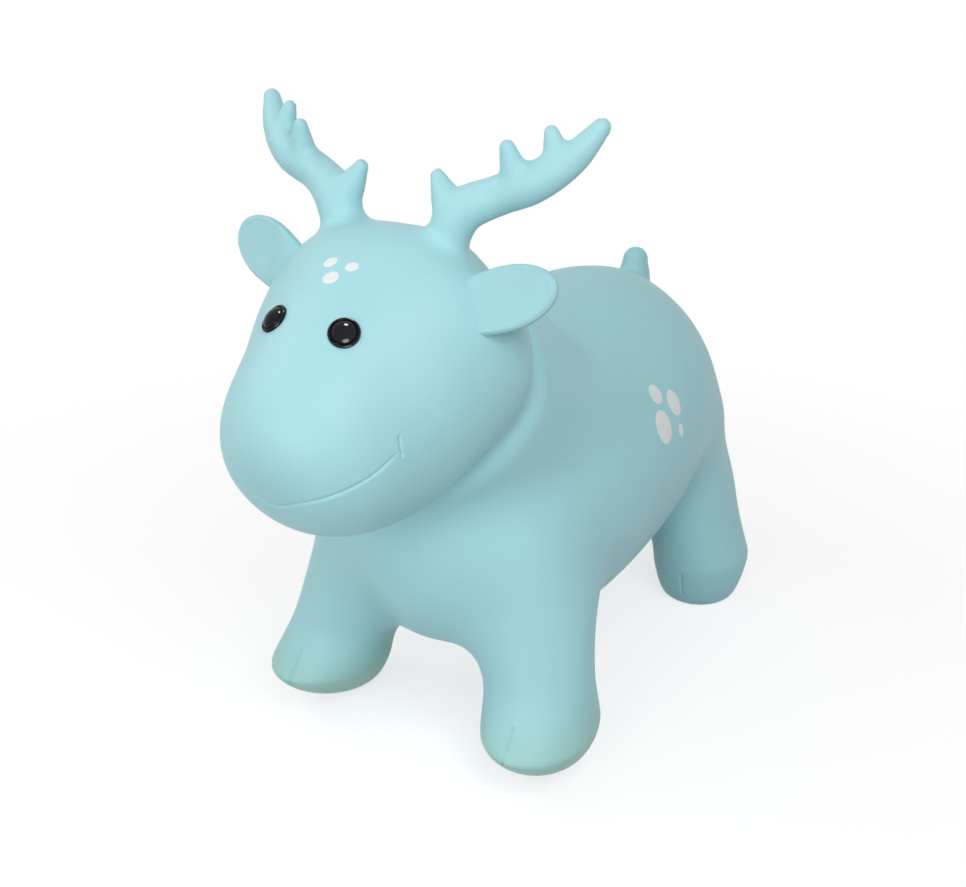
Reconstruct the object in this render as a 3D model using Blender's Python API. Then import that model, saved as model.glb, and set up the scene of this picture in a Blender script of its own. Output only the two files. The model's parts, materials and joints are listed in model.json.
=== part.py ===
"""Inflatable bouncy ride-on deer: a hollow soft-vinyl skin in its body parts, with eyes and an air valve.

Metres, +Z up. The animal faces -Y and its left side is +X. The soles stand on z = 0.
Places along the animal are measured back from the line of the eyes.
"""
import math

import bmesh
import bpy
import numpy as np
from mathutils import Matrix, Vector

# Overall frame
EYE_LINE_Y = -0.237

# Skin, fits and cuts
WALL = 0.0025
GAP = 0.0003
OVERRUN = 0.004

# Torso: a long egg from the chest to the rump
TORSO_FRONT_BACK = 0.082
TORSO_FRONT_HEIGHT = 0.184
TORSO_LENGTH = 0.450
TORSO_PITCH = math.radians(5.1)
TORSO_WIDTH = 0.257
TORSO_HEIGHT = 0.250
TORSO_END_POWER = 2.8
TORSO_WIDTH_SHARES = (0.84, 0.96, 1.0, 1.0, 0.95)
TORSO_HEIGHT_SHARES = (0.93, 1.01, 1.04, 1.02, 0.92)
TORSO_RISE_SHARES = (-0.055, -0.05, -0.036, -0.008, 0.014)
TORSO_RINGS = 17
TORSO_SIDES = 30

# Neck: a short egg between head and shoulders, its middle placed from the torso's front
NECK_SETBACK = 0.086
NECK_RISE = 0.100
NECK_LENGTH = 0.240
NECK_WIDTH = 0.200
NECK_HEIGHT = 0.190
NECK_PITCH = math.radians(-28.6)
NECK_END_POWER = 2.3
NECK_RINGS = 10
NECK_SIDES = 22

# Head: an egg that droops from the crown to the broad muzzle, its crown placed from the torso's front
HEAD_CROWN_SETBACK = 0.084
HEAD_CROWN_RISE = 0.191
HEAD_CROWN_BACK = TORSO_FRONT_BACK + HEAD_CROWN_SETBACK
HEAD_CROWN_HEIGHT = TORSO_FRONT_HEIGHT + HEAD_CROWN_RISE
HEAD_LENGTH = 0.232
HEAD_PITCH = math.radians(22.1)
HEAD_WIDTH = 0.217
HEAD_HEIGHT = 0.214
HEAD_END_POWER = 2.57
HEAD_WIDTH_SHARES = (0.964, 1.0, 0.871, 0.727, 0.712)
HEAD_HEIGHT_SHARES = (0.98, 1.0, 0.888, 0.77, 0.697)
HEAD_RISE_SHARES = (0.023, 0.023, 0.023, 0.019, -0.008)
HEAD_RINGS = 15
HEAD_SIDES = 28

# Legs: the stations are shares of the height, from the shoulder down to the widest of the hoof
SHOULDER_RISE = 0.066
SHOULDER_TOP_HEIGHT = TORSO_FRONT_HEIGHT + SHOULDER_RISE
LEG_STATION_SHARES = (1.0, 0.8, 0.6, 0.36, 0.176)
HOOF_TOP_HEIGHT = 0.052
LEG_RINGS = 10
HOOF_RINGS = 6
HOOF_CURVE_POWER = 1.5
LEG_SIDES = 16

# Front legs: the hoof's place, how far the shoulder leans back of it, and half sizes
FRONT_STANCE_SHARE = 0.397
FRONT_GIRTH_SHARE = 0.218
FRONT_HOOF_SETBACK = 0.051
FRONT_HOOF_HALF_TRACK = TORSO_WIDTH * FRONT_STANCE_SHARE
FRONT_HOOF_BACK = TORSO_FRONT_BACK + FRONT_HOOF_SETBACK
FRONT_LEAN = 0.035
FRONT_HALF_WIDTH = TORSO_WIDTH * FRONT_GIRTH_SHARE
FRONT_HALF_LENGTH = 0.062
FRONT_TRACK_SHARES = (0.44, 0.59, 0.716, 0.882, 1.0)
FRONT_LEAN_SHARES = (1.0, 0.943, 0.829, 0.429, 0.0)
FRONT_WIDTH_SHARES = (0.536, 0.946, 1.0, 0.795, 0.785)
FRONT_LENGTH_SHARES = (0.726, 1.0, 0.919, 0.80, 0.965)
FRONT_SOLE_SHARE = 0.46
FRONT_SOLE_SHIFT = 0.023

# Rear legs, in the same order
REAR_STANCE_SHARE = 0.393
REAR_GIRTH_SHARE = 0.210
REAR_PLACE_SHARE = 0.86
REAR_HOOF_HALF_TRACK = TORSO_WIDTH * REAR_STANCE_SHARE
REAR_HOOF_BACK = TORSO_FRONT_BACK + TORSO_LENGTH * REAR_PLACE_SHARE
REAR_LEAN = -0.031
REAR_HALF_WIDTH = TORSO_WIDTH * REAR_GIRTH_SHARE
REAR_HALF_LENGTH = 0.068
REAR_TRACK_SHARES = (0.446, 0.614, 0.752, 0.871, 1.0)
REAR_LEAN_SHARES = (1.0, 0.645, 0.194, 0.097, 0.0)
REAR_WIDTH_SHARES = (0.833, 1.0, 0.889, 0.824, 0.861)
REAR_LENGTH_SHARES = (0.809, 1.0, 0.824, 0.728, 0.743)
REAR_SOLE_SHARE = 0.62
REAR_SOLE_SHIFT = 0.003

# Antlers: the tip is placed from the root; beam and tines are shares of that span, back and rise
ANTLER_STANCE_SHARE = 0.219
ANTLER_AHEAD = 0.068
ANTLER_LIFT = 0.046
ANTLER_ROOT_HALF_SPAN = HEAD_WIDTH * ANTLER_STANCE_SHARE
ANTLER_ROOT_BACK = HEAD_CROWN_BACK - ANTLER_AHEAD
ANTLER_ROOT_HEIGHT = HEAD_CROWN_HEIGHT + ANTLER_LIFT
ANTLER_SPAN = 0.0875
ANTLER_SWEEP = 0.0375
ANTLER_RISE = 0.085
ANTLER_BEAM_SHARES = (
    (0.051, 0.053, 0.329),
    (0.291, 0.293, 0.459),
    (0.600, 0.400, 0.600),
    (0.851, 0.693, 0.788),
    (1.0, 1.0, 1.0),
)
ANTLER_TINE_TIP_SHARES = ((-0.184, 0.139, 0.576), (0.417, 0.165, 0.858), (0.676, 0.613, 0.961))
ANTLER_TINE_ROOT_SHARES = (0.20, 0.54, 0.745)
ANTLER_BEAM_RADIUS = 0.0168
ANTLER_BEAM_RADIUS_SHARES = (1.0, 0.94, 0.81, 0.804, 0.66, 0.37)
ANTLER_TINE_RADIUS = 0.0100
ANTLER_TINE_RADIUS_SHARES = ((1.42, 1.12, 0.56), (1.2, 0.88, 0.50), (1.05, 0.80, 0.48))
ANTLER_BALL_RADIUS = 0.0215
ANTLER_SEAT_DEPTH = 0.009
ANTLER_BEAM_RINGS = 14
ANTLER_TINE_RINGS = 4
ANTLER_SIDES = 12
TINE_SIDES = 8

# Ears: a dished paddle on a rounded root bar; the slant shares are the bar's direction out, back and up
EAR_STANCE_SHARE = 0.381
EAR_AHEAD = 0.0853
EAR_LIFT = 0.0218
EAR_ROOT_HALF_SPAN = HEAD_WIDTH * EAR_STANCE_SHARE
EAR_ROOT_BACK = HEAD_CROWN_BACK - EAR_AHEAD
EAR_ROOT_HEIGHT = HEAD_CROWN_HEIGHT + EAR_LIFT
EAR_SPAN = 0.0488
EAR_SWEEP = 0.0077
EAR_RISE = 0.0196
EAR_SLANT_SHARES = (-0.3955, 0.2657, 0.8792)
EAR_HALF_WIDTH = 0.0213
EAR_ROOT_SHARE = 0.955
EAR_WIDEST_SHARE = 0.3165
EAR_THICKNESS = 0.010
EAR_DISH = 0.0032
EAR_DISH_START_SHARE = 0.1
EAR_DISH_POWER = 4
EAR_BAR_RADIUS = 0.0062
EAR_BAR_LENGTH = 0.038
EAR_BACK_FLEX = math.radians(15)
EAR_FORE_FLEX = math.radians(20)
EAR_RINGS = 14
EAR_SIDES = 20

# Tail: a short blunt stub on a ball root
TAIL_PLACE_SHARE = 0.9156
TAIL_BACK = TORSO_FRONT_BACK + TORSO_LENGTH * TAIL_PLACE_SHARE
TAIL_SEAT_DEPTH = 0.008
TAIL_PITCH = math.radians(84)
TAIL_LENGTH = 0.023
TAIL_RADIUS = 0.0165
TAIL_RADIUS_SHARES = (1.0, 0.88, 0.56)
TAIL_BALL_RADIUS = 0.0205
TAIL_RINGS = 6
TAIL_SIDES = 14

# A root ball is cut off this share of its radius below its centre; its limb starts half way up.
# The clearance in its seat lets the faceted ball turn.
BALL_CUT_SHARE = 0.2
BALL_NECK_SHARE = 0.5
BALL_CLEARANCE = 0.0006
BALL_RINGS = 8
BALL_SIDES = 24

# Eyes: a dome in a brim, set in a shallow round socket
EYE_HALF_SPAN = 0.027
EYE_LIFT = 0.015
EYE_HEIGHT = HEAD_CROWN_HEIGHT + EYE_LIFT
EYE_RADIUS = 0.0105
EYE_BRIM_HEIGHT = 0.0013
EYE_BRIM_SHARES = ((0.0, 0.6), (0.6, 1.3), (1.3, 1.2))
EYE_DOME_FOOT_SHARE = 0.8
EYE_DOME_ANGLES = (15, 35, 55, 75)
EYE_DOME_RADIUS = 0.0080
EYE_DOME_HEIGHT = 0.0042
EYE_SOCKET_DEPTH = 0.0014
EYE_SIDES = 20

# Air valve on the belly
VALVE_PLACE_SHARE = 0.4844
VALVE_BACK = TORSO_FRONT_BACK + TORSO_LENGTH * VALVE_PLACE_SHARE
VALVE_FLANGE_RADIUS = 0.019
VALVE_FLANGE_THICKNESS = 0.0024
VALVE_SOCKET_DEPTH = 0.0013
VALVE_TUBE_RADIUS = 0.0095
VALVE_TUBE_LENGTH = 0.024
VALVE_BORE_RADIUS = 0.0070
PLUG_CLEARANCE = 0.0003
PLUG_HEAD_RADIUS = 0.0125
PLUG_HEAD_THICKNESS = 0.0030
PLUG_TIP_RADIUS = 0.0050
PLUG_LENGTH = 0.020
VALVE_SIDES = 20

# Paint patches: each oval has its place, half sizes and tilt in degrees, as shares of its group's sizes
PATCH_THICKNESS = 0.0004
PATCH_SIDES = 14
FOREHEAD_SPOTS_AHEAD = 0.135
FOREHEAD_SPOTS_BACK = HEAD_CROWN_BACK - FOREHEAD_SPOTS_AHEAD
FOREHEAD_SPOTS_SPREAD = 0.010
FOREHEAD_SPOT_HALF_SIZE = 0.0060
FOREHEAD_SPOT_SHARES = (
    ((-0.85, 0.45), (0.90, 0.73), 25),
    ((0.93, 0.40), (0.82, 0.67), 20),
    ((-0.05, -0.60), (1.0, 0.90), 15),
)
FLANK_SPOTS_PLACE_SHARE = 0.5256
FLANK_SPOTS_LIFT = 0.0612
FLANK_SPOTS_BACK = TORSO_FRONT_BACK + TORSO_LENGTH * FLANK_SPOTS_PLACE_SHARE
FLANK_SPOTS_HEIGHT = TORSO_FRONT_HEIGHT + FLANK_SPOTS_LIFT
FLANK_SPOTS_SPREAD = 0.0170
FLANK_SPOT_HALF_SIZE = 0.0152
FLANK_SPOT_SHARES = (
    ((-0.53, 1.06), (0.50, 0.64), 26),
    ((0.65, 0.324), (0.56, 0.82), 12),
    ((-0.853, -0.412), (0.75, 1.0), 5),
    ((0.647, -1.06), (0.26, 0.41), 0),
)

# Colours
VINYL_BLUE = (0.42, 0.74, 0.79)
SOLE_TEAL = (0.40, 0.69, 0.68)
SPOT_WHITE = (0.82, 0.85, 0.87)
EYE_BLACK = (0.006, 0.006, 0.007)
VALVE_WHITE = (0.80, 0.81, 0.80)


def clear_scene():
    """Remove every object that the file opened with."""
    for item in list(bpy.data.objects):
        bpy.data.objects.remove(item, do_unlink=True)


def make_material(name, colour, roughness, coat=0.0):
    """A moulded finish with its colour, roughness and clear coat."""
    material = bpy.data.materials.new(name)
    material.use_nodes = True
    shader = material.node_tree.nodes["Principled BSDF"]
    shader.inputs["Base Color"].default_value = (*colour, 1.0)
    shader.inputs["Roughness"].default_value = roughness
    shader.inputs["Metallic"].default_value = 0.0
    shader.inputs["Coat Weight"].default_value = coat
    return material


def at(x, back, height):
    """A world point from its half span, its place back from the eyes and its height."""
    return Vector((x, EYE_LINE_Y + back, height))


def smooth_value(stations, values, place):
    """A value on a smooth cubic curve through the stations."""
    stations = np.asarray(stations, float)
    values = np.asarray(values, float)
    slopes = np.gradient(values, stations, axis=0)
    index = int(np.clip(np.searchsorted(stations, place) - 1, 0, len(stations) - 2))
    span = stations[index + 1] - stations[index]
    u = (place - stations[index]) / span
    start = (1 + 2 * u) * (1 - u) ** 2 * values[index] + u * (1 - u) ** 2 * span * slopes[index]
    finish = u * u * (3 - 2 * u) * values[index + 1] - u * u * (1 - u) * span * slopes[index + 1]
    return start + finish


def mesh_object(name, bm, material, origin=None):
    """An object from a bmesh in world places, with its origin where asked."""
    bmesh.ops.recalc_face_normals(bm, faces=bm.faces)
    mesh = bpy.data.meshes.new(name)
    bm.to_mesh(mesh)
    bm.free()
    mesh.shade_smooth()
    mesh.set_sharp_from_angle(angle=math.radians(40))
    item = bpy.data.objects.new(name, mesh)
    bpy.context.collection.objects.link(item)
    if material:
        mesh.materials.append(material)
    if origin is not None:
        mesh.transform(Matrix.Translation(-origin))
        item.location = origin
    return item


def skin_of_rings(name, rings, material=None, poles=(None, None), origin=None):
    """A closed solid through a row of rings; each end is a flat cap, or a fan to its pole."""
    bm = bmesh.new()
    rows = [[bm.verts.new(point) for point in ring] for ring in rings]
    count = len(rows[0])
    for lower, upper in zip(rows, rows[1:]):
        for i in range(count):
            j = (i + 1) % count
            bm.faces.new((lower[i], lower[j], upper[j], upper[i]))
    for row, pole in ((rows[0], poles[0]), (rows[-1], poles[1])):
        if pole is None:
            bm.faces.new(row)
            continue
        tip = bm.verts.new(pole)
        for i in range(count):
            bm.faces.new((row[i], row[(i + 1) % count], tip))
    return mesh_object(name, bm, material, origin)


def oval_ring(centre, across, up, half_width, half_height, sides):
    """Points round an oval spanned by two unit vectors."""
    turns = [2 * math.pi * i / sides for i in range(sides)]
    return [
        centre + across * (half_width * math.cos(turn)) + up * (half_height * math.sin(turn))
        for turn in turns
    ]


def egg(name, spec, grow, material=None):
    """An egg along a pitched axis, its sizes from the shares of the spec, grown by a margin."""
    pitch, power = spec["pitch"], spec["power"]
    along = Vector((0.0, math.cos(pitch), math.sin(pitch)))
    up = Vector((0.0, -math.sin(pitch), math.cos(pitch)))
    across = Vector((1.0, 0.0, 0.0))
    start = spec["start"] - along * grow
    length = spec["length"] + 2 * grow
    stations = np.linspace(0.0, 1.0, len(spec["width_shares"]))
    rings = []
    for k in range(1, spec["rings"] + 1):
        place = (1 - math.cos(math.pi * k / (spec["rings"] + 1))) / 2
        swell = (1 - abs(2 * place - 1) ** power) ** (1 / power)
        width = smooth_value(stations, spec["width_shares"], place) * spec["width"] / 2
        height = smooth_value(stations, spec["height_shares"], place) * spec["height"] / 2
        rise = smooth_value(stations, spec["rise_shares"], place) * spec["height"]
        centre = start + along * (place * length) + up * rise
        rings.append(
            oval_ring(centre, across, up, width * swell + grow, height * swell + grow, spec["sides"])
        )
    first_rise = spec["rise_shares"][0] * spec["height"]
    last_rise = spec["rise_shares"][-1] * spec["height"]
    poles = (start + up * first_rise, start + along * length + up * last_rise)
    return skin_of_rings(name, rings, material, poles)


def torso_spec():
    """The torso's egg."""
    return {
        "start": at(0.0, TORSO_FRONT_BACK, TORSO_FRONT_HEIGHT),
        "length": TORSO_LENGTH,
        "pitch": TORSO_PITCH,
        "power": TORSO_END_POWER,
        "width": TORSO_WIDTH,
        "height": TORSO_HEIGHT,
        "width_shares": TORSO_WIDTH_SHARES,
        "height_shares": TORSO_HEIGHT_SHARES,
        "rise_shares": TORSO_RISE_SHARES,
        "rings": TORSO_RINGS,
        "sides": TORSO_SIDES,
    }


def neck_spec():
    """The neck's egg, placed by its centre."""
    along = Vector((0.0, math.cos(NECK_PITCH), math.sin(NECK_PITCH)))
    middle = at(0.0, TORSO_FRONT_BACK + NECK_SETBACK, TORSO_FRONT_HEIGHT + NECK_RISE)
    return {
        "start": middle - along * (NECK_LENGTH / 2),
        "length": NECK_LENGTH,
        "pitch": NECK_PITCH,
        "power": NECK_END_POWER,
        "width": NECK_WIDTH,
        "height": NECK_HEIGHT,
        "width_shares": (1.0, 1.0, 1.0),
        "height_shares": (1.0, 1.0, 1.0),
        "rise_shares": (0.0, 0.0, 0.0),
        "rings": NECK_RINGS,
        "sides": NECK_SIDES,
    }


def head_spec():
    """The head's egg, from the muzzle back to the crown."""
    along = Vector((0.0, math.cos(HEAD_PITCH), math.sin(HEAD_PITCH)))
    return {
        "start": at(0.0, HEAD_CROWN_BACK, HEAD_CROWN_HEIGHT) - along * HEAD_LENGTH,
        "length": HEAD_LENGTH,
        "pitch": HEAD_PITCH,
        "power": HEAD_END_POWER,
        "width": HEAD_WIDTH,
        "height": HEAD_HEIGHT,
        "width_shares": HEAD_WIDTH_SHARES[::-1],
        "height_shares": HEAD_HEIGHT_SHARES[::-1],
        "rise_shares": tuple(-share for share in HEAD_RISE_SHARES[::-1]),
        "rings": HEAD_RINGS,
        "sides": HEAD_SIDES,
    }


def hide_cutter(item):
    """A cutter shows as wires and isn't part of the model."""
    item.hide_render = True
    item.display_type = "WIRE"
    return item


def boolean(item, cutter, operation="DIFFERENCE"):
    """Cut, join or trim an object with a hidden cutter."""
    modifier = item.modifiers.new(f"{operation.lower()}_{cutter.name}", "BOOLEAN")
    modifier.operation = operation
    modifier.solver = "EXACT"
    modifier.object = hide_cutter(cutter)


def box(name, low, high):
    """A plain block between two corners."""
    bm = bmesh.new()
    bmesh.ops.create_cube(bm, size=1.0)
    size = Vector(high) - Vector(low)
    bmesh.ops.scale(bm, vec=size, verts=bm.verts)
    bmesh.ops.translate(bm, vec=Vector(low) + size / 2, verts=bm.verts)
    return mesh_object(name, bm, None)


def frame_along(direction, hint=(0.0, 1.0, 0.0)):
    """A rotation whose Z runs along a direction."""
    z = Vector(direction).normalized()
    x = Vector(hint).cross(z).normalized()
    return Matrix((x, z.cross(x), z)).transposed().to_4x4()


def turned(name, profile, sides, matrix, material=None, origin=None):
    """A solid turned about the matrix's Z from (radius, height) points that start and end on the axis."""
    across, along = Vector((1.0, 0.0, 0.0)), Vector((0.0, 1.0, 0.0))
    rings = []
    for radius, height in profile[1:-1]:
        ring = oval_ring(Vector((0.0, 0.0, height)), across, along, radius, radius, sides)
        rings.append([matrix @ point for point in ring])
    poles = tuple(matrix @ Vector((0.0, 0.0, profile[i][1])) for i in (0, -1))
    return skin_of_rings(name, rings, material, poles, origin)


def ball_steps():
    """The angles, from the cut edge to the top, of a root ball's rings."""
    first = math.acos(BALL_CUT_SHARE)
    return [first + (math.pi - first) * k / BALL_RINGS for k in range(BALL_RINGS + 1)]


def ball(name, centre, radius, direction):
    """A sphere with its poles on a direction, its upper rings those of a root ball."""
    upper = ball_steps()
    steps = [upper[0] * k / BALL_RINGS for k in range(BALL_RINGS)] + upper
    profile = [(radius * math.sin(step), -radius * math.cos(step)) for step in steps]
    matrix = Matrix.Translation(centre) @ frame_along(direction)
    return turned(name, profile, BALL_SIDES, matrix)


def bead(name, centre, radius, direction, material):
    """A root ball: a sphere cut flat below its centre and hollowed from there, with a skin's wall."""
    lowest = -BALL_CUT_SHARE * radius
    inner = radius - WALL
    steps = ball_steps()
    outside = [(radius * math.sin(step), -radius * math.cos(step)) for step in steps]
    inside = [(inner * math.sin(step), -inner * math.cos(step)) for step in steps]
    inside[0] = (math.sqrt(inner * inner - lowest * lowest), lowest)
    matrix = Matrix.Translation(centre) @ frame_along(direction)
    return turned(name, inside[::-1] + outside, BALL_SIDES, matrix, material, centre)


def leg_stations(corner):
    """Track, place back, half width and half length of a leg at each station, the lowest first."""
    if corner.startswith("front"):
        columns = (
            [FRONT_HOOF_HALF_TRACK * share for share in FRONT_TRACK_SHARES],
            [FRONT_HOOF_BACK + FRONT_LEAN * share for share in FRONT_LEAN_SHARES],
            [FRONT_HALF_WIDTH * share for share in FRONT_WIDTH_SHARES],
            [FRONT_HALF_LENGTH * share for share in FRONT_LENGTH_SHARES],
        )
    else:
        columns = (
            [REAR_HOOF_HALF_TRACK * share for share in REAR_TRACK_SHARES],
            [REAR_HOOF_BACK + REAR_LEAN * share for share in REAR_LEAN_SHARES],
            [REAR_HALF_WIDTH * share for share in REAR_WIDTH_SHARES],
            [REAR_HALF_LENGTH * share for share in REAR_LENGTH_SHARES],
        )
    return np.array(columns).T[::-1]


def leg_rings(corner, grow):
    """Level rings of a leg from the shoulder down to its flat sole, grown by a margin."""
    side = 1 if corner.endswith("left") else -1
    sole_share, sole_shift = SOLES[corner.split("_")[0]]
    heights = [SHOULDER_TOP_HEIGHT * share for share in LEG_STATION_SHARES[::-1]]
    table = leg_stations(corner)
    rings = []
    for k in range(LEG_RINGS):
        z = heights[-1] + (heights[0] - heights[-1]) * k / (LEG_RINGS - 1)
        x, y, a, b = smooth_value(heights, table, z)
        rings.append((x, y, z, a, b))
    x, y, z, a, b = rings[-1]
    for k in range(1, HOOF_RINGS + 1):
        fall = math.sin(math.pi / 2 * k / HOOF_RINGS)
        round_share = max(0.0, 1 - fall ** HOOF_CURVE_POWER) ** (1 / HOOF_CURVE_POWER)
        share = sole_share + (1 - sole_share) * round_share
        shift = sole_shift * (1 - round_share)
        rings.append((x, y + shift, -grow + (z + grow) * (1 - fall), a * share, b * share))
    across, along = Vector((1.0, 0.0, 0.0)), Vector((0.0, 1.0, 0.0))
    return [
        oval_ring(at(side * x, y, z), across, along, a + grow, b + grow, LEG_SIDES)
        for x, y, z, a, b in rings
    ]


SOLES = {
    "front": (FRONT_SOLE_SHARE, FRONT_SOLE_SHIFT),
    "rear": (REAR_SOLE_SHARE, REAR_SOLE_SHIFT),
}
CORNERS = ("front_left", "front_right", "rear_left", "rear_right")


def make_leg(corner, cutters, vinyl, sole):
    """A hollow leg that ends on the body's skin, and the hoof cup below it."""
    leg = skin_of_rings(f"{corner}_leg", leg_rings(corner, 0.0), vinyl)
    hoof = skin_of_rings(f"{corner}_hoof", leg_rings(corner, 0.0), sole)
    hollow = skin_of_rings(f"cut_{corner}_hollow", leg_rings(corner, -WALL))
    track, back, half_width, half_length = leg_stations(corner).T
    reach = max(*half_width, *half_length) + max(track) + OVERRUN
    middle = at(0.0, back[0], 0.0)
    spread = Vector((reach, reach, 0.0))
    under = box(
        f"cut_{corner}_under", middle - spread - Vector((0, 0, OVERRUN)),
        middle + spread + Vector((0, 0, HOOF_TOP_HEIGHT + GAP)),
    )
    above = box(
        f"cut_{corner}_above", middle - spread + Vector((0, 0, HOOF_TOP_HEIGHT)),
        middle + spread + Vector((0, 0, SHOULDER_TOP_HEIGHT + OVERRUN)),
    )
    boolean(leg, hollow)
    boolean(leg, under)
    for cutter in cutters:
        boolean(leg, cutter)
    boolean(hoof, hollow)
    boolean(hoof, above)
    return leg, hoof, hollow


def tube(name, points, radii, rings, sides, material=None):
    """A tapering round limb along a smooth curve, with a rounded tip and a flat root."""
    points = np.array([tuple(point) for point in points])
    steps = np.linalg.norm(np.diff(points, axis=0), axis=1)
    stations = np.concatenate([[0.0], np.cumsum(steps)]) / steps.sum()
    places = np.linspace(0.0, 1.0, rings)
    centres = [Vector(smooth_value(stations, points, place)) for place in places]
    widths = [float(smooth_value(stations, radii, place)) for place in places]
    rows = []
    for k, centre in enumerate(centres):
        ahead = centres[min(k + 1, rings - 1)] - centres[max(k - 1, 0)]
        turn = frame_along(ahead)
        across, up = turn.col[0].to_3d(), turn.col[1].to_3d()
        rows.append(oval_ring(centre, across, up, widths[k], widths[k], sides))
    tip, radius = centres[-1], widths[-1]
    forward = ahead.normalized()
    for angle in (30, 60):
        lift, shrink = math.sin(math.radians(angle)), math.cos(math.radians(angle))
        place = tip + forward * (radius * lift)
        rows.append(oval_ring(place, across, up, radius * shrink, radius * shrink, sides))
    return skin_of_rings(name, rows, material, (None, tip + forward * radius))


def antler_root(side, head_guide):
    """The centre of an antler's root ball under the top of the head, and the head's normal there."""
    start = at(side * ANTLER_ROOT_HALF_SPAN, ANTLER_ROOT_BACK, HEAD_CROWN_HEIGHT + HEAD_HEIGHT)
    point, normal = surface_hit(head_guide, start, Vector((0.0, 0.0, -1.0)))
    return point - normal * ANTLER_SEAT_DEPTH, normal


def antler_point(side, shares):
    """A point of an antler, from its shares of the span, sweep and rise."""
    span, sweep, rise = shares
    return at(
        side * (ANTLER_ROOT_HALF_SPAN + ANTLER_SPAN * span),
        ANTLER_ROOT_BACK + ANTLER_SWEEP * sweep,
        ANTLER_ROOT_HEIGHT + ANTLER_RISE * rise,
    )


def make_antler(word, side, head_guide, vinyl):
    """A branched antler on a hollow root ball."""
    centre, normal = antler_root(side, head_guide)
    antler = bead(f"antler_{word}", centre, ANTLER_BALL_RADIUS, normal, vinyl)
    neck = centre + normal * (ANTLER_BALL_RADIUS * BALL_NECK_SHARE)
    points = [neck] + [antler_point(side, shares) for shares in ANTLER_BEAM_SHARES]
    radii = [ANTLER_BEAM_RADIUS * share for share in ANTLER_BEAM_RADIUS_SHARES]
    beam = tube(f"add_beam_{word}", points, radii, ANTLER_BEAM_RINGS, ANTLER_SIDES)
    boolean(antler, beam, "UNION")
    steps = [(b - a).length for a, b in zip(points, points[1:])]
    stations = np.concatenate([[0.0], np.cumsum(steps)]) / sum(steps)
    places = np.array([tuple(point) for point in points])
    for index, share in enumerate(ANTLER_TINE_ROOT_SHARES):
        root = Vector(smooth_value(stations, places, share))
        tip = antler_point(side, ANTLER_TINE_TIP_SHARES[index])
        radii = [ANTLER_TINE_RADIUS * part for part in ANTLER_TINE_RADIUS_SHARES[index]]
        line = (root, (root + tip) / 2, tip)
        tine = tube(f"add_tine_{word}_{index + 1}", line, radii, ANTLER_TINE_RINGS, TINE_SIDES)
        boolean(antler, tine, "UNION")
    return antler


def ear_frame(side):
    """The ear's root centre and its unit vectors: outwards, front and up the root bar."""
    root = at(side * EAR_ROOT_HALF_SPAN, EAR_ROOT_BACK, EAR_ROOT_HEIGHT)
    slant_out, slant_back, slant_up = EAR_SLANT_SHARES
    up = Vector((side * slant_out, slant_back, slant_up)).normalized()
    out = Vector((side * EAR_SPAN, EAR_SWEEP, EAR_RISE))
    out = (out - up * out.dot(up)).normalized()
    front = out.cross(up).normalized() * side
    return root, out, front, up


def ear_bar(name, side, grow):
    """The round bar of an ear's root, grown by a margin."""
    root, out, front, up = ear_frame(side)
    radius, half = EAR_BAR_RADIUS + grow, EAR_BAR_LENGTH / 2 + grow
    rings = [oval_ring(root + up * z, out, front, radius, radius, BALL_SIDES) for z in (-half, half)]
    return skin_of_rings(name, rings)


def make_ear(word, side, vinyl):
    """A flat paddle with a rounded rim and a shallow dish in front, joined to its root bar."""
    root, out, front, up = ear_frame(side)
    length = Vector((EAR_SPAN, EAR_SWEEP, EAR_RISE)).length
    rings = []
    for k in range(EAR_RINGS):
        place = math.sin(math.pi / 2 * k / EAR_RINGS)
        if place < EAR_WIDEST_SHARE:
            bulge = math.sin(math.pi / 2 * place / EAR_WIDEST_SHARE)
            wide = EAR_ROOT_SHARE + (1 - EAR_ROOT_SHARE) * bulge
        else:
            wide = math.sqrt(1 - ((place - EAR_WIDEST_SHARE) / (1 - EAR_WIDEST_SHARE)) ** 2)
        half_width = EAR_HALF_WIDTH * wide
        half_depth = EAR_THICKNESS / 2 * math.sqrt(wide)
        sink = EAR_DISH * math.sin(math.pi * min(1.0, place + EAR_DISH_START_SHARE)) * wide
        ring = []
        for i in range(EAR_SIDES):
            turn = 2 * math.pi * i / EAR_SIDES
            z = half_width * math.cos(turn)
            depth = half_depth * math.sin(turn)
            if depth > 0:
                depth -= sink * math.sin(turn) ** EAR_DISH_POWER
            ring.append(root + out * (place * length) + up * z + front * depth)
        rings.append(ring)
    tip = root + out * length
    ear = skin_of_rings(f"ear_{word}", rings, vinyl, (None, tip), root)
    for name, angle in (("rest", 0.0), ("back", EAR_BACK_FLEX), ("fore", -EAR_FORE_FLEX)):
        clear = egg(f"cut_ear_{name}_{word}", head_spec(), GAP)
        swing = Matrix.Rotation(-side * angle, 4, up)
        clear.matrix_world = Matrix.Translation(root) @ swing @ Matrix.Translation(-root)
        boolean(ear, clear)
    boolean(ear, ear_bar(f"add_ear_bar_{word}", side, 0.0), "UNION")
    return ear


def tail_direction():
    """The way the tail points."""
    return Vector((0.0, math.cos(TAIL_PITCH), math.sin(TAIL_PITCH)))


def tail_root(torso_guide):
    """The centre of the tail's root ball under the rump, and the rump's normal there."""
    start = at(0.0, TAIL_BACK, TORSO_FRONT_HEIGHT + TORSO_HEIGHT)
    point, normal = surface_hit(torso_guide, start, Vector((0.0, 0.0, -1.0)))
    return point - normal * TAIL_SEAT_DEPTH, normal


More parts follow.
